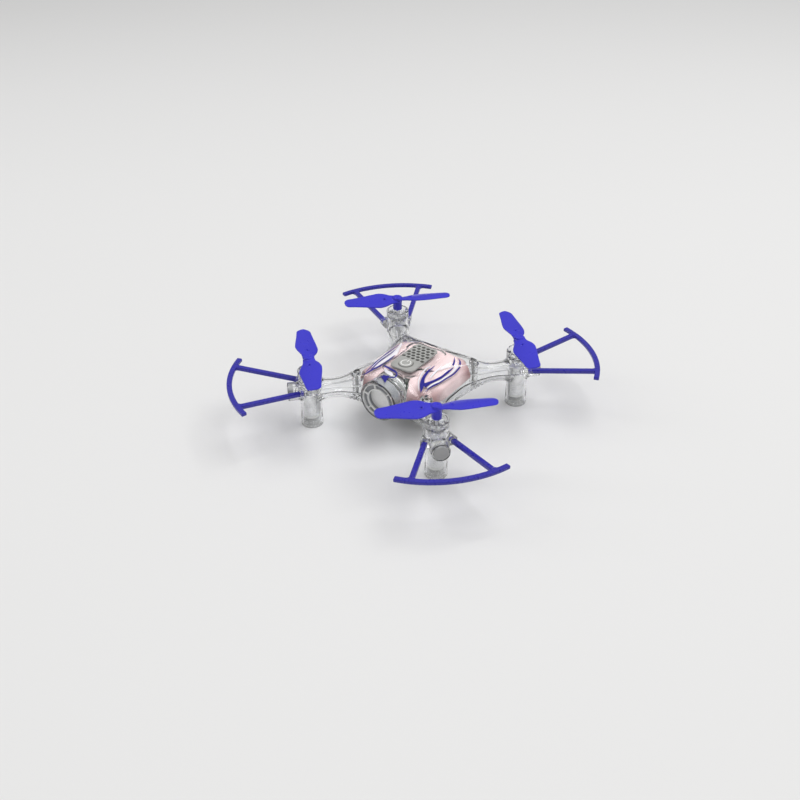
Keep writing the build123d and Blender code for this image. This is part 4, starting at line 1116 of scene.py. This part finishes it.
@dataclass(frozen=True)
class Stroke:
    """A stroke in plan, printed ink except for one white streak on the +X side of the roof, which is a painted
    highlight: rows of (x, y) on its one edge and (x, y) on its other edge.
    """

    path: tuple[tuple[float, float, float], ...]
    white: bool = False

    def ribbon(self, height: Callable, layer: int) -> tuple[np.ndarray, np.ndarray]:
        """Closed thin ribbon that follows a surface.

        Args:
            height: Height of the surface over x and y, raised by a lift.
            layer: Its place in the stack of inks, from 0.

        Returns:
            Points and quads.
        """
        steps, across = 72, 6
        knots = np.array(self.path)
        run = np.concatenate(([0], np.cumsum(np.hypot(*np.diff(knots[:, :2], axis=0).T))))
        place = np.linspace(0, run[-1], steps)
        line = np.stack([catmull(run, column, place) for column in knots.T], 1)
        along = np.gradient(line[:, :2], axis=0)
        side = along[:, ::-1] * (-1, 1) / np.hypot(*along.T)[:, None] * np.maximum(line[:, 2:], 0.1)
        plan = line[:, None, :2] + side[:, None] * np.linspace(-0.5, 0.5, across)[None, :, None]
        top = height(plan[..., 0], plan[..., 1], 0.03 + 0.015 * layer)
        low = height(plan[..., 0], plan[..., 1], -0.05)
        points = np.concatenate([np.dstack([plan, top]).reshape(-1, 3), np.dstack([plan, low]).reshape(-1, 3)])
        number = np.arange(steps * across).reshape(steps, across)
        under = number + steps * across
        faces = [np.stack([number[:-1, :-1], number[1:, :-1], number[1:, 1:], number[:-1, 1:]], -1).reshape(-1, 4),
                 np.stack([under[:-1, :-1], under[:-1, 1:], under[1:, 1:], under[1:, :-1]], -1).reshape(-1, 4)]
        rim = np.concatenate([number[:, 0], number[-1, 1:], number[-2::-1, -1], number[0, -2:0:-1]])
        below = rim + steps * across
        faces.append(np.stack([rim, np.roll(rim, -1), np.roll(below, -1), below], 1))
        return points, np.concatenate(faces)


def catmull(run: np.ndarray, values: np.ndarray, place: np.ndarray) -> np.ndarray:
    """Smooth line through values at run, read at each place."""
    slope = np.gradient(values, run)
    index = np.clip(np.searchsorted(run, place, side="right") - 1, 0, len(run) - 2)
    gap = run[index + 1] - run[index]
    t = (place - run[index]) / gap
    return ((2 * t ** 3 - 3 * t ** 2 + 1) * values[index] + (t ** 3 - 2 * t ** 2 + t) * gap * slope[index]
            + (3 * t ** 2 - 2 * t ** 3) * values[index + 1] + (t ** 3 - t ** 2) * gap * slope[index + 1])


@dataclass
class Print:
    """The printed strokes on both sides of the roof, with a painted highlight streak among the white ones on the +X
    side, and the arrow on the hood.
    """

    canopy: Canopy
    shop: Shop

    LEAF = (
        Stroke(((9.7, 1.0, 0.2), (10.6, -6.0, 1.0), (12.0, -11.7, 1.5), (13.2, -14.0, 2.0), (15.5, -18.5, 0.2))),
        Stroke(((14.4, -14.6, 2.4), (15.2, -10.9, 1.3), (15.9, -3.7, 0.9), (16.0, 3.9, 0.7), (16.2, 6.4, 0.2))),
        Stroke(((15.4, 7.5, 0.7), (14.7, 9.6, 0.7), (13.1, 12.3, 0.2))),
        Stroke(((16.9, -16.8, 0.2), (17.1, -11.5, 0.6), (18.0, -3.5, 0.8), (18.8, 3.0, 0.8), (18.0, 9.4, 0.8))),
        Stroke(((17.2, 10.5, 1.0), (16.3, 12.0, 0.7), (14.7, 13.2, 0.3))),
        # White strokes on this side: white print, and among them a painted highlight streak for the glint along the
        # clear roof's shoulder.
        Stroke(((16.2, -14.6, 0.4), (16.5, -11.0, 0.7), (17.2, -2.2, 0.8), (17.5, 3.5, 0.9), (16.9, 8.6, 0.9)), True),
        Stroke(((12.5, -1.0, 0.4), (14.8, 5.4, 0.5), (18.4, 11.2, 0.4), (20.0, 13.8, 0.2)), True),
        Stroke(((13.5, -8.0, 0.6), (12.9, -4.5, 0.8), (12.1, 3.0, 0.2)), True),
        Stroke(((9.1, -1.2, 0.3), (9.2, -5.4, 0.4), (10.4, -12.0, 0.5), (12.0, -15.2, 0.4), (14.2, -18.0, 0.2)), True),
    )
    SWEEP = (
        Stroke(((-14.0, -18.4, 0.4), (-13.9, -12.0, 0.7), (-15.2, -6.0, 0.8), (-16.1, -0.8, 0.8),
                (-15.9, 4.0, 0.8), (-14.9, 8.0, 0.5))),
        Stroke(((-12.6, -16.5, 0.5), (-12.7, -12.5, 0.7), (-13.5, -4.5, 0.8), (-13.6, 3.0, 0.7))),
        Stroke(((-14.5, -20.9, 0.2), (-12.3, -17.0, 0.9), (-10.0, -13.1, 1.0), (-8.8, -9.0, 0.9), (-9.2, -3.0, 0.7))),
        Stroke(((-11.6, -15.0, 0.8), (-11.0, -7.5, 2.4), (-11.0, -3.0, 2.9), (-13.1, 5.7, 1.7), (-14.8, 10.2, 0.8)), True),
        Stroke(((-13.1, -15.0, 0.5), (-13.4, -10.5, 0.7), (-14.8, -2.0, 1.0), (-14.3, 4.8, 0.5)), True),
    )
    ARROW = (
        Stroke(((-7.5, -13.5, 1.0), (-5.7, -13.6, 1.2), (-3.0, -14.3, 1.2), (0.1, -15.7, 1.1), (1.7, -16.8, 0.6),
                (2.3, -18.3, 0.6), (2.2, -20.2, 0.6), (1.2, -21.4, 0.8), (-0.4, -21.7, 0.9), (-2.5, -21.3, 0.6))),
        Stroke(((-1.4, -21.5, 4.2), (-0.3, -23.0, 3.0), (0.9, -24.6, 1.5), (2.2, -26.3, 0.2))),
        Stroke(((-6.3, -14.9, 0.6), (-4.0, -16.3, 1.7), (-1.5, -18.0, 2.4), (0.4, -19.2, 1.6), (1.3, -19.8, 0.6)), True),
    )

    def hood(self, x: np.ndarray, y: np.ndarray, lift: float) -> np.ndarray:
        """Height of the clear hood and pad over points in plan, raised by a lift."""
        low, high = np.full(x.shape, 26.0), np.full(x.shape, 33.0)
        for _ in range(34):
            middle = (low + high) / 2
            barrel = np.hypot(x, middle - 21.6) - np.interp(y, (-27.4, -22.1), (9.4, 9.12))
            barrel = np.where(y < -22.0, barrel, 9.0)
            outside = np.minimum(self.canopy.form.outside(x, y, middle), barrel) - lift > 0
            high = np.where(outside, middle, high)
            low = np.where(outside, low, middle)
        return (low + high) / 2

    def build(self) -> None:
        """Mesh every stroke in its ink."""
        for strokes, name in ((self.LEAF + self.SWEEP, "print"), (self.ARROW, "arrow")):
            for white, ink in ((False, "print_blue"), (True, "print_white")):
                meshes = [clean(mesh_from(ink, *stroke.ribbon(self.hood, int(not white))))
                          for stroke in strokes if stroke.white is white]
                for mesh in meshes:
                    mesh.materials.append(self.shop[ink])
                label = name + "_" + ink.split("_")[1]
                settle_piece(add_object(label, joined(meshes, label), self.shop[ink]), "airframe", "clear_plastic")


@dataclass
class Deck:
    """The roof plate with its vents, the button and its light symbol."""

    shop: Shop
    top_z: float = 30.2
    low_z: float = 29.2
    button_y: float = -7.5

    def plate(self, x: np.ndarray, y: np.ndarray, z: np.ndarray) -> np.ndarray:
        """Distance to the plate."""
        inset = 0.3 * np.clip(z - self.low_z, 0, 1)
        form = rectangle(x, y + 1.0, 6.4 - inset, 11.5 - inset, 3.0 - inset)
        form = smooth_max(form, np.abs(z - 29.75) - 0.45, 0.3)
        step_in = rectangle(x, y + 1.0, 5.5, 10.6, 2.4)
        form = smooth_max(form, 0.18 - np.hypot(step_in, z - self.top_z), 0.1)
        seat = np.hypot(x, y - self.button_y) - 3.35
        form = smooth_max(form, -seat, 0.2)
        for row in range(6):
            count = 4 + row % 2
            for column in range(count):
                off_x = x - (column - (count - 1) / 2) * 2.5
                off_y = y - 8.5 + row * 2.1
                form = smooth_max(form, 0.84 - np.hypot(off_x * 0.86, off_y * 1.12), 0.2)
        return form

    def button(self, x: np.ndarray, y: np.ndarray, z: np.ndarray) -> np.ndarray:
        """Distance to the button's cap with its groove."""
        about = np.hypot(x, y - self.button_y)
        dish = 30.7 - 0.12 * np.clip(1 - about / 1.4, 0, 1)
        form = smooth_max(about - 3.2, z - dish, 0.4)
        form = np.maximum(form, 29.95 - z)
        form = smooth_max(form, -self.symbol(x, y, z, 0.0), 0.08)
        stem = smooth_max(about - 1.2, np.abs(z - 27.25) - 2.95, 0.1)
        return np.minimum(form, stem)

    def symbol(self, x: np.ndarray, y: np.ndarray, z: np.ndarray, inset: float) -> np.ndarray:
        """Distance to the power symbol's ring and bar; the ring is drawn large so that it also holds a painted
        highlight of the button's rim.
        """
        off_y = y - self.button_y
        # Partly painted highlight: the ring is set out towards the cap's rim, printed symbol and rim highlight in one.
        ring = np.abs(np.hypot(x, off_y) - 2.2) - 0.32
        gap = np.maximum(np.abs(x) - 0.8, -off_y)
        ring = smooth_max(ring, -gap, 0.1)
        bar = np.maximum(np.abs(x) - 0.3, np.abs(off_y - 1.8) - 1.0)
        return smooth_max(np.minimum(ring, bar) + inset, np.abs(z - 30.6) - 0.1, 0.05)

    def build(self) -> None:
        """Mesh plate, a black sheet of painted shade under its vents, button and symbol."""
        plate = Moulding(self.plate, (-7, -13, 28.9), (7, 11, 30.6), 0.16)
        piece = add_object("deck_plate_vented", mesh_from("deck", *plate.net()), self.shop["deck_grey"])
        settle_piece(piece, "airframe", "deck_grey", "deck_plate")
        # Painted shade: a thin black sheet under the plate so that the vent holes read dark; it stands for no part.
        backing = Moulding(lambda x, y, z: np.maximum(
            np.maximum(rectangle(x, y + 1.0, 6.2, 11.3, 2.8), np.abs(z - 29.26) - 0.055),
            3.4 - np.hypot(x, y - self.button_y)), (-7, -13, 29.0), (7, 11, 29.5), 0.14)
        piece = add_object("deck_backing", mesh_from("backing", *backing.net()), self.shop["deck_dark"])
        settle_piece(piece, "airframe", "deck_grey")
        button = Moulding(self.button, (-3.6, -11.1, 23.8), (3.6, -3.9, 31.0), 0.11)
        piece = add_object("button_cap", mesh_from("button", *button.net()), self.shop["deck_grey"])
        settle_piece(piece, "button", "deck_grey", "power_button")
        symbol = Moulding(lambda x, y, z: self.symbol(x, y, z, 0.02), (-2.7, -10.2, 30.3), (2.7, -4.4, 30.9), 0.07)
        piece = add_object("power_mark", mesh_from("mark", *symbol.net()), self.shop["white_plastic"])
        settle_piece(piece, "button", "white_plastic", "button_symbol")


@dataclass
class Headlight:
    """The clear barrel with bezel, window, reflector, LED and round board."""

    shop: Shop
    repeater: Repeater
    axis_z: float = 21.6

    def add(self, name: str, mesh: bpy.types.Mesh, finish: str, node: str, slot: str = "") -> None:
        """Place a form built along +Z onto the barrel's axis."""
        piece = add_object(name, placed(mesh, facing_front(self.axis_z)), self.shop[finish])
        settle_piece(piece, "airframe", slot or finish, node)

    def build(self) -> None:
        """Mesh the whole headlight; z in these outlines is y on the drone."""
        self.add("barrel", lathe("barrel", (
            (8.4, -29.2), (9.1, -29.2), (9.4, -28.9), (9.4, -27.4), (9.12, -22.15), (7.9, -22.15), (7.9, -17.65),
            (7.0, -17.65), (7.0, -22.5), (8.4, -23.5)), 0.18, 96), "clear_plastic", "front_barrel")
        bezel = lathe("bezel", ((5.45, -27.9), (8.0, -27.9), (8.05, -28.85), (8.28, -28.85), (8.28, -23.55), (7.65, -23.55),
                                (7.65, -26.5), (5.45, -26.5)), 0.1, 96)
        self.add("bezel", bezel, "smoke_plastic", "lens_bezel")
        # Painted highlights: white spokes and rims on the smoke bezel stand for light caught on its ribs and rim
        # edges; the real parts are smoke plastic.
        spokes = self.repeater.ribs(6, 6.95, (2.5, 0.5, 0.75), -28.45, self.shop["white_plastic"])
        rims = [placed(spokes, Matrix.Rotation(math.radians(16), 4, "Z"))]
        for low, high in ((5.3, 5.75), (7.85, 8.2)):
            rim = lathe("rim", ((low, -28.85), (high, -28.85), (high, -27.95), (low, -27.95)), 0.12, 96)
            rim.materials.append(self.shop["white_plastic"])
            rims.append(rim)
        piece = add_object("bezel_ribs", placed(joined(rims, "rims"), facing_front(self.axis_z)),
                           self.shop["white_plastic"])
        settle_piece(piece, "airframe", "smoke_plastic")
        sleeve = self.repeater.ribs(40, 8.0, (0.5, 0.35, 2.6), -25.1, self.shop["clear_plastic"])
        piece = add_object("sleeve_ribs", placed(sleeve, facing_front(self.axis_z)), self.shop["clear_plastic"])
        settle_piece(piece, "airframe", "smoke_plastic")
        window = [(0.0, -26.5)]
        window += [(r, -26.5 - 0.0 * r) for r in (2.0, 4.5, 6.0)]
        window += [(7.38, -26.5), (7.38, -25.72), (0.0, -25.72)]
        # The window's finish is lightened as painted light against the recess's shade.
        self.add("window", lathe("window", window, 0.1, 96), "window_grey", "lens_window")
        self.add("reflector", lathe("reflector", (
            (4.75, -25.65), (5.25, -25.65), (4.7, -22.5), (3.25, -20.1), (3.25, -18.65), (2.65, -18.65), (2.65, -20.1),
            (4.1, -22.6)), 0.08, 64), "mirror_silver", "lens_reflector")
        dome = [(0.0, -22.55)] + [(2.4 * math.sin(a), -20.15 - 2.4 * math.cos(a)) for a in
                                  np.linspace(0.15, math.pi / 2, 9)]
        dome += [(2.4, -18.62), (0.0, -18.62)]
        self.add("headlight_dome", lathe("dome", dome, 0.05, 48), "led_epoxy", "headlight_led")
        self.add("headlight_disc", lathe("disc", ((0, -18.58), (6.88, -18.58), (6.88, -17.8), (0, -17.8)), 0.1, 64),
                 "white_plastic", "headlight_board")


@dataclass
class Rotors:
    """Propellers and shafts, one pair for each arm."""

    shop: Shop
    step: float = 0.24

    def build(self) -> None:
        """Mesh one propeller for each way round and place the four."""
        nets = {}
        for turn in (1.0, -1.0):
            form = PropellerForm(turn)
            nets[turn] = Moulding(form.distance, (-5.9, -26.6, 28.4), (5.9, 26.6, 36.4), self.step).net()
        shaft = ((0, 5.0), (0.5, 5.0), (0.5, 7.1), (2.8, 7.1), (2.8, 18.9), (2.2, 18.9), (2.2, 7.9), (0.5, 7.9),
                 (0.5, 34.8), (0, 34.8))
        for arm in ARMS:
            points, faces = nets[arm.turn]
            mesh = mesh_from("propeller", on_arms(points, arm), faces)
            piece = add_object("blades_" + arm.name, mesh, self.shop["blue_plastic"])
            settle_piece(piece, "rotor_" + arm.name, "blue_plastic", "propeller_" + arm.name)
            mesh = lathe("shaft", shaft, 0.06, 40)
            mesh = placed(mesh, Matrix.Rotation(math.radians(arm.angle), 4, "Z") @ Matrix.Translation((48, 0, 0)))
            piece = add_object("shaft_" + arm.name, mesh, self.shop["shaft_steel"])
            settle_piece(piece, "rotor_" + arm.name, "shaft_steel", "motor_shaft_" + arm.name)


@dataclass
class Guards:
    """The four blue bumpers."""

    shop: Shop
    step: float = 0.26

    def build(self) -> None:
        """Mesh one guard and place four."""
        form = GuardForm()
        points, faces = Moulding(form.distance, (2.6, -24.2, 18.4), (37.2, 24.2, 25.0), self.step).net()
        for arm in ARMS:
            mesh = mesh_from("guard", on_arms(points, arm), faces)
            # The guards are blue_plastic drawn in its darker copy, which is painted shade.
            piece = add_object("bumper_" + arm.name, mesh, self.shop["guard_blue"])
            settle_piece(piece, "airframe", "blue_plastic", "prop_guard_" + arm.name)


@dataclass
class PodParts:
    """Motors, lamps, feet and leads in the pods and arms."""

    shop: Shop
    repeater: Repeater
    axis_z: float = 18.0

    def upright(self, name: str, outline: Stations, finish: str, *nodes: str, slot: str = "",
                radius: float = 0.12) -> None:
        """One turned piece for each arm, joined into one object when it stands for a single node."""
        meshes = []
        for arm in ARMS:
            place = Matrix.Rotation(math.radians(arm.angle), 4, "Z") @ Matrix.Translation((MOTOR_RADIUS, 0, 0))
            meshes.append(placed(lathe(name, outline, radius, 56), place))
        self.share(name, meshes, finish, nodes, slot)

    def outward(self, name: str, outline: Stations, finish: str, *nodes: str, slot: str = "",
                radius: float = 0.12) -> None:
        """As upright, for pieces on the lamps' axes."""
        meshes = [placed(lathe(name, outline, radius, 56), facing_out(arm, self.axis_z)) for arm in ARMS]
        self.share(name, meshes, finish, nodes, slot)

    def share(self, name: str, meshes: list, finish: str, nodes: tuple, slot: str) -> None:
        """One object for each arm, or one for all four when they share a node."""
        if len(nodes) == 1 and not nodes[0].endswith("_"):
            for mesh in meshes:
                mesh.materials.append(self.shop[finish])
            piece = add_object(name, joined(meshes, name), self.shop[finish])
            settle_piece(piece, "airframe", slot or finish, nodes[0])
            return
        for arm, mesh in zip(ARMS, meshes):
            piece = add_object(name + "_" + arm.name, mesh, self.shop[finish])
            settle_piece(piece, "airframe", slot or finish, *[node + arm.name for node in nodes])

    def build(self) -> None:
        """Mesh all pieces in the pods."""
        self.upright("can", ((3.2, 5.75), (3.5, 5.75), (3.5, 20.5), (1.1, 20.5), (1.1, 21.0), (0.56, 21.0), (0.56, 19.9),
                             (3.2, 19.9)), "motor_steel", "motor_can_", radius=0.25)
        self.upright("motor_cap", ((0, 4.5), (3.45, 4.5), (3.5, 4.6), (3.5, 5.68), (3.16, 5.7), (3.16, 6.45), (0.56, 6.45),
                                   (0.56, 4.95), (0, 4.95)), "white_plastic", "motor_end_caps")
        self.upright("foot", ((0, 0), (4.7, 0), (4.94, 0.25), (4.94, 1.16), (3.98, 1.2), (3.98, 2.95), (0, 2.95)),
                     "foot_clear", "foot_cap_", radius=0.2)
        self.outward("lamp", ((0, 9.3), (2.4, 9.3), (2.5, 7.85), (3.35, 7.85), (3.38, 9.9), (3.1, 10.32), (1.6, 10.4),
                              (0, 10.4)), "lamp_grey", "lamp_lens_", slot="window_grey", radius=0.15)
        bulb = [(0.0, 3.82), (1.78, 3.82), (1.78, 4.48), (1.5, 4.5)]
        bulb += [(1.5 * math.cos(a), 5.7 + 1.48 * math.sin(a)) for a in np.linspace(0.1, 1.45, 8)] + [(0.0, 7.18)]
        self.outward("lamp_bulbs", bulb, "led_epoxy", "lamp_leds", radius=0.05)
        for arm in ARMS:
            turn = Matrix.Rotation(math.radians(arm.angle), 4, "Z")
            meshes = []
            for side, ink in ((-1, "wire_pale"), (1, "wire_white")):
                path = ((46.0, 0.9, 4.4), (46.0, 0.9, 3.75), (44.35, 0.9, 3.75), (44.3, 0.9, 12.0), (44.25, 0.9, 18.4),
                        (41.0, 1.3, 18.8), (35.4, 1.8, 18.9), (29.6, 2.7, 19.0), (26.9, 3.0, 19.1), (22.2, 2.9, 19.7),
                        (16.2, 2.0, 19.65))
                points = [turn @ Vector((u, side * v, z)) for u, v, z in path]
                meshes.append(self.repeater.wire(points, 0.25, self.shop[ink]))
            piece = bpy.data.objects.new("leads_" + arm.name, joined(meshes, "leads"))
            bpy.context.scene.collection.objects.link(piece)
            settle_piece(piece, "airframe", "wire_pale", "motor_leads_" + arm.name)


@dataclass
class Inside:
    """Board, chips, cell, door, screws and wires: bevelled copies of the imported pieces."""

    frame: dict
    shop: Shop
    repeater: Repeater

    COPIES = (("control_board", "board_green", 0.08), ("board_chips", "chip_black", 0.1),
              ("tact_switch", "motor_steel", 0.12), ("usb_port", "screw_steel", 0.1),
              ("battery_cell", "cell_foil", 0.5), ("battery_plug", "white_plastic", 0.15),
              ("battery_door", "clear_plastic", 0.12), ("battery_pad", "foam", 0.12),
              ("button_spring", "silicone", 0.04))
    SLOTS = {"battery_door": "clear_plastic", "tact_switch": "chip_black"}
    KEPT = {"motor_magnets": "motor_steel", "door_screw": "screw_steel"}

    def refined(self, node: str, width: float) -> bpy.types.Mesh:
        """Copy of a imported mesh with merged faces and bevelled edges."""
        mesh = self.frame["nodes"][node].data.copy()
        work = bmesh.new()
        work.from_mesh(mesh)
        bmesh.ops.remove_doubles(work, verts=work.verts, dist=2e-6)
        bmesh.ops.dissolve_limit(work, angle_limit=math.radians(2), verts=work.verts, edges=work.edges)
        edges = [edge for edge in work.edges if len(edge.link_faces) == 2
                 and edge.calc_face_angle(0.0) > math.radians(35)]
        bmesh.ops.bevel(work, geom=edges, offset=width * MM, segments=2, profile=0.6, affect="EDGES",
                        clamp_overlap=True)
        work.to_mesh(mesh)
        work.free()
        mesh.shade_smooth()
        mesh.set_sharp_from_angle(angle=math.radians(32))
        return mesh

    def screws(self) -> None:
        """Round-headed screws with a cross recess: four in the body, four in the board."""
        def head(x: np.ndarray, y: np.ndarray, z: np.ndarray) -> np.ndarray:
            about = np.hypot(x, y)
            form = smooth_max(about - 1.25, z + 0.05 * about ** 2, 0.25)
            form = smooth_max(form, -1.1 - z, 0.15)
            cross = np.minimum(rectangle(x, y, 0.8, 0.17, 0.05), rectangle(x, y, 0.17, 0.8, 0.05))
            form = smooth_max(form, -np.maximum(cross, -0.6 - z), 0.1)
            thread = about - 0.54 - 0.05 * np.cos(2 * math.pi * z / 0.5)
            return smooth_min(form, np.maximum(thread, np.maximum(z + 0.5, -10.0 - z)), 0.1)

        points, faces = Moulding(head, (-1.5, -1.5, -10.3), (1.5, 1.5, 0.4), 0.12).net()
        tree = self.repeater.scatter
        body = [(26.9 * math.cos(math.radians(arm.angle)), 26.9 * math.sin(math.radians(arm.angle)), 24.06)
                for arm in ARMS]
        board = [(-10.6, -10.6, 20.2), (10.6, -10.6, 20.2), (-10.6, 16.2, 20.2), (10.6, 16.2, 20.2)]
        for name, places, scale, node in (("body_screw_set", body, 1.0, "body_screws"),
                                          ("board_screw_set", board, 0.5, "board_screws")):
            kind = mesh_from("screw", points * scale, faces)
            kind.materials.append(self.shop["screw_steel"])
            source = bpy.data.meshes.new("places")
            source.from_pydata([tuple(value * MM for value in place) for place in places], [], [])
            model = bpy.data.objects.new("screw_model", kind)
            mesh = self.repeater.run(tree, source, piece=model, finish=self.shop["screw_steel"])
            bpy.data.objects.remove(model)
            mesh.set_sharp_from_angle(angle=math.radians(40))
            piece = add_object(name, mesh, self.shop["screw_steel"])
            settle_piece(piece, "airframe", "screw_steel", node)

    def wires(self) -> None:
        """Leads of the headlight and the cell, and the receiver's wire."""
        routes = (
            ("headlight_wires", "headlight_leads", 0.3, (
                ("wire_pale", ((-1.2, -17.7, 20.6), (-1.2, -15.6, 20.6), (-1.2, -11.8, 19.75), (-1.2, -10.0, 19.72))),
                ("wire_white", ((1.2, -17.7, 20.6), (1.2, -15.6, 20.6), (1.2, -11.8, 19.75), (1.2, -10.0, 19.72))))),
            ("cell_wires", "battery_leads", 0.35, (
                ("wire_pale", ((-5.6, 14.0, 15.5), (-5.6, 17.0, 15.5), (-5.6, 17.0, 21.2), (-5.6, 12.0, 21.2))),
                ("wire_white", ((-4.0, 14.0, 15.5), (-4.0, 17.0, 15.5), (-4.0, 17.0, 21.2), (-4.0, 12.0, 21.2))))),
            ("receiver_wire", "antenna_wire", 0.24, (
                ("wire_pale", ((-9.5, -6.6, 19.7), (-14.6, -5.2, 19.7), (-16.6, 3.0, 20.4), (-15.4, 11.5, 20.4))),)))
        for name, node, radius, lines in routes:
            meshes = [self.repeater.wire(points, radius, self.shop[finish]) for finish, points in lines]
            piece = bpy.data.objects.new(name, joined(meshes, name))
            bpy.context.scene.collection.objects.link(piece)
            settle_piece(piece, "airframe", "wire_pale", node)

    def build(self) -> None:
        """Copies, screws and wires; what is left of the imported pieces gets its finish."""
        for node, finish, width in self.COPIES:
            piece = add_object("fine_" + node, self.refined(node, width), self.shop[finish])
            settle_piece(piece, "airframe", self.SLOTS.get(node, finish), node)
            if node == "button_spring":
                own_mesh(piece)
        self.screws()
        self.wires()
        for node, finish in self.KEPT.items():
            kept = self.frame["nodes"][node]
            kept.data.materials.clear()
            kept.data.materials.append(self.shop[finish])


@dataclass
class Studio:
    """Pale floor, soft light from above and the camera."""

    azimuth: float = 34.485
    elevation: float = 32.675
    distance: float = 471.765
    target: tuple[float, float, float] = (0.0, 0.0, 15.0)

    def build(self) -> None:
        """Set up floor, lights, world, camera and colour view."""
        self.floor()
        self.lights()
        self.world()
        self.camera()
        bpy.context.scene.view_settings.view_transform = "Standard"

    def floor(self) -> None:
        """Large matt floor."""
        s = Shader("studio_floor")
        cloud = s.noise(1.5, 2.0)
        shader = s.node("ShaderNodeBsdfPrincipled", {
            "Base Color": s.blend(s.span(cloud, 0.0, 1.0), (0.752, 0.750, 0.746, 1), (0.764, 0.762, 0.758, 1)),
            "Roughness": 0.9, "Specular IOR Level": 0.0})
        mesh = bpy.data.meshes.new("studio_floor")
        reach = 6.0
        mesh.from_pydata([(-reach, -reach, 0), (reach, -reach, 0), (reach, reach, 0), (-reach, reach, 0)], [],
                         [(0, 1, 2, 3)])
        piece = add_object("studio_floor", mesh, s.surface(shader.outputs[0]))
        piece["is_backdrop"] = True

    def lights(self) -> None:
        """A broad key from above and behind, a weak fill from the front and a strip that draws highlights."""
        for name, place, size, power in (("key", (0.30, 0.40, 1.25), (1.0, 0.8), 9.5),
                                         ("fill", (0.55, -0.85, 0.50), (0.7, 0.5), 1.3),
                                         ("strip", (-0.75, -0.35, 0.75), (0.2, 0.9), 2.0)):
            data = bpy.data.lights.new(name, "AREA")
            data.shape = "RECTANGLE"
            data.size, data.size_y = size
            data.energy = power
            lamp = bpy.data.objects.new(name, data)
            lamp.location = place
            lamp.visible_glossy = name == "strip"
            lamp.rotation_euler = (Vector((0, 0, 0.015)) - Vector(place)).to_track_quat("-Z", "Y").to_euler()
            bpy.context.scene.collection.objects.link(lamp)

    def world(self) -> None:
        """Bright sky that darkens towards the horizon."""
        world = bpy.data.worlds.new("studio_world")
        bpy.context.scene.world = world
        world.use_nodes = True
        tree = world.node_tree
        tree.nodes.clear()
        place = tree.nodes.new("ShaderNodeTexCoord")
        split = tree.nodes.new("ShaderNodeSeparateXYZ")
        ramp = tree.nodes.new("ShaderNodeMapRange")
        back, out = tree.nodes.new("ShaderNodeBackground"), tree.nodes.new("ShaderNodeOutputWorld")
        ramp.inputs["From Min"].default_value = 0.0
        ramp.inputs["From Max"].default_value = 0.9
        ramp.inputs["To Min"].default_value = 0.12
        ramp.inputs["To Max"].default_value = 0.85
        tree.links.new(place.outputs["Generated"], split.inputs[0])
        tree.links.new(split.outputs[2], ramp.inputs[0])
        tree.links.new(ramp.outputs[0], back.inputs["Strength"])
        tree.links.new(back.outputs[0], out.inputs[0])

    def camera(self) -> None:
        """The camera from the front right, above."""
        az, el = math.radians(self.azimuth), math.radians(self.elevation)
        back = Vector((math.sin(az) * math.cos(el), -math.cos(az) * math.cos(el), math.sin(el)))
        data = bpy.data.cameras.new("camera")
        data.sensor_width = 36.0
        data.lens = 46.289
        data.shift_x = -0.01926
        data.shift_y = -0.01925
        data.clip_start = 0.01
        camera = bpy.data.objects.new("camera", data)
        camera.location = (Vector(self.target) + back * self.distance) * MM
        camera.rotation_euler = back.to_track_quat("Z", "Y").to_euler()
        bpy.context.scene.collection.objects.link(camera)
        bpy.context.scene.camera = camera


def write_sizes(before: object, after: object) -> None:
    """Gather the box before and after the visible pieces were built as plain lists; the result is not kept."""
    {"frame": plain(before), "visual": plain(after)}


def plain(value: object) -> object:
    """Vectors and tuples as plain lists."""
    if isinstance(value, (int, float)):
        return value
    return [plain(item) for item in value]


def main() -> None:
    """Build the whole scene."""
    logging.basicConfig(level=logging.INFO, format="%(name)s %(message)s")
    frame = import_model()
    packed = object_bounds()
    shop = Shop()
    repeater = Repeater()
    form = BodyForm()
    canopy = Canopy(form, shop)
    ClearShells(form, shop).build()
    canopy.build()
    Print(canopy, shop).build()
    Deck(shop).build()
    Headlight(shop, repeater).build()
    Rotors(shop).build()
    Guards(shop).build()
    PodParts(shop, repeater).build()
    Inside(frame, shop, repeater).build()
    Studio().build()
    write_sizes(packed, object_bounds())


if __name__ == "__main__":
    main()
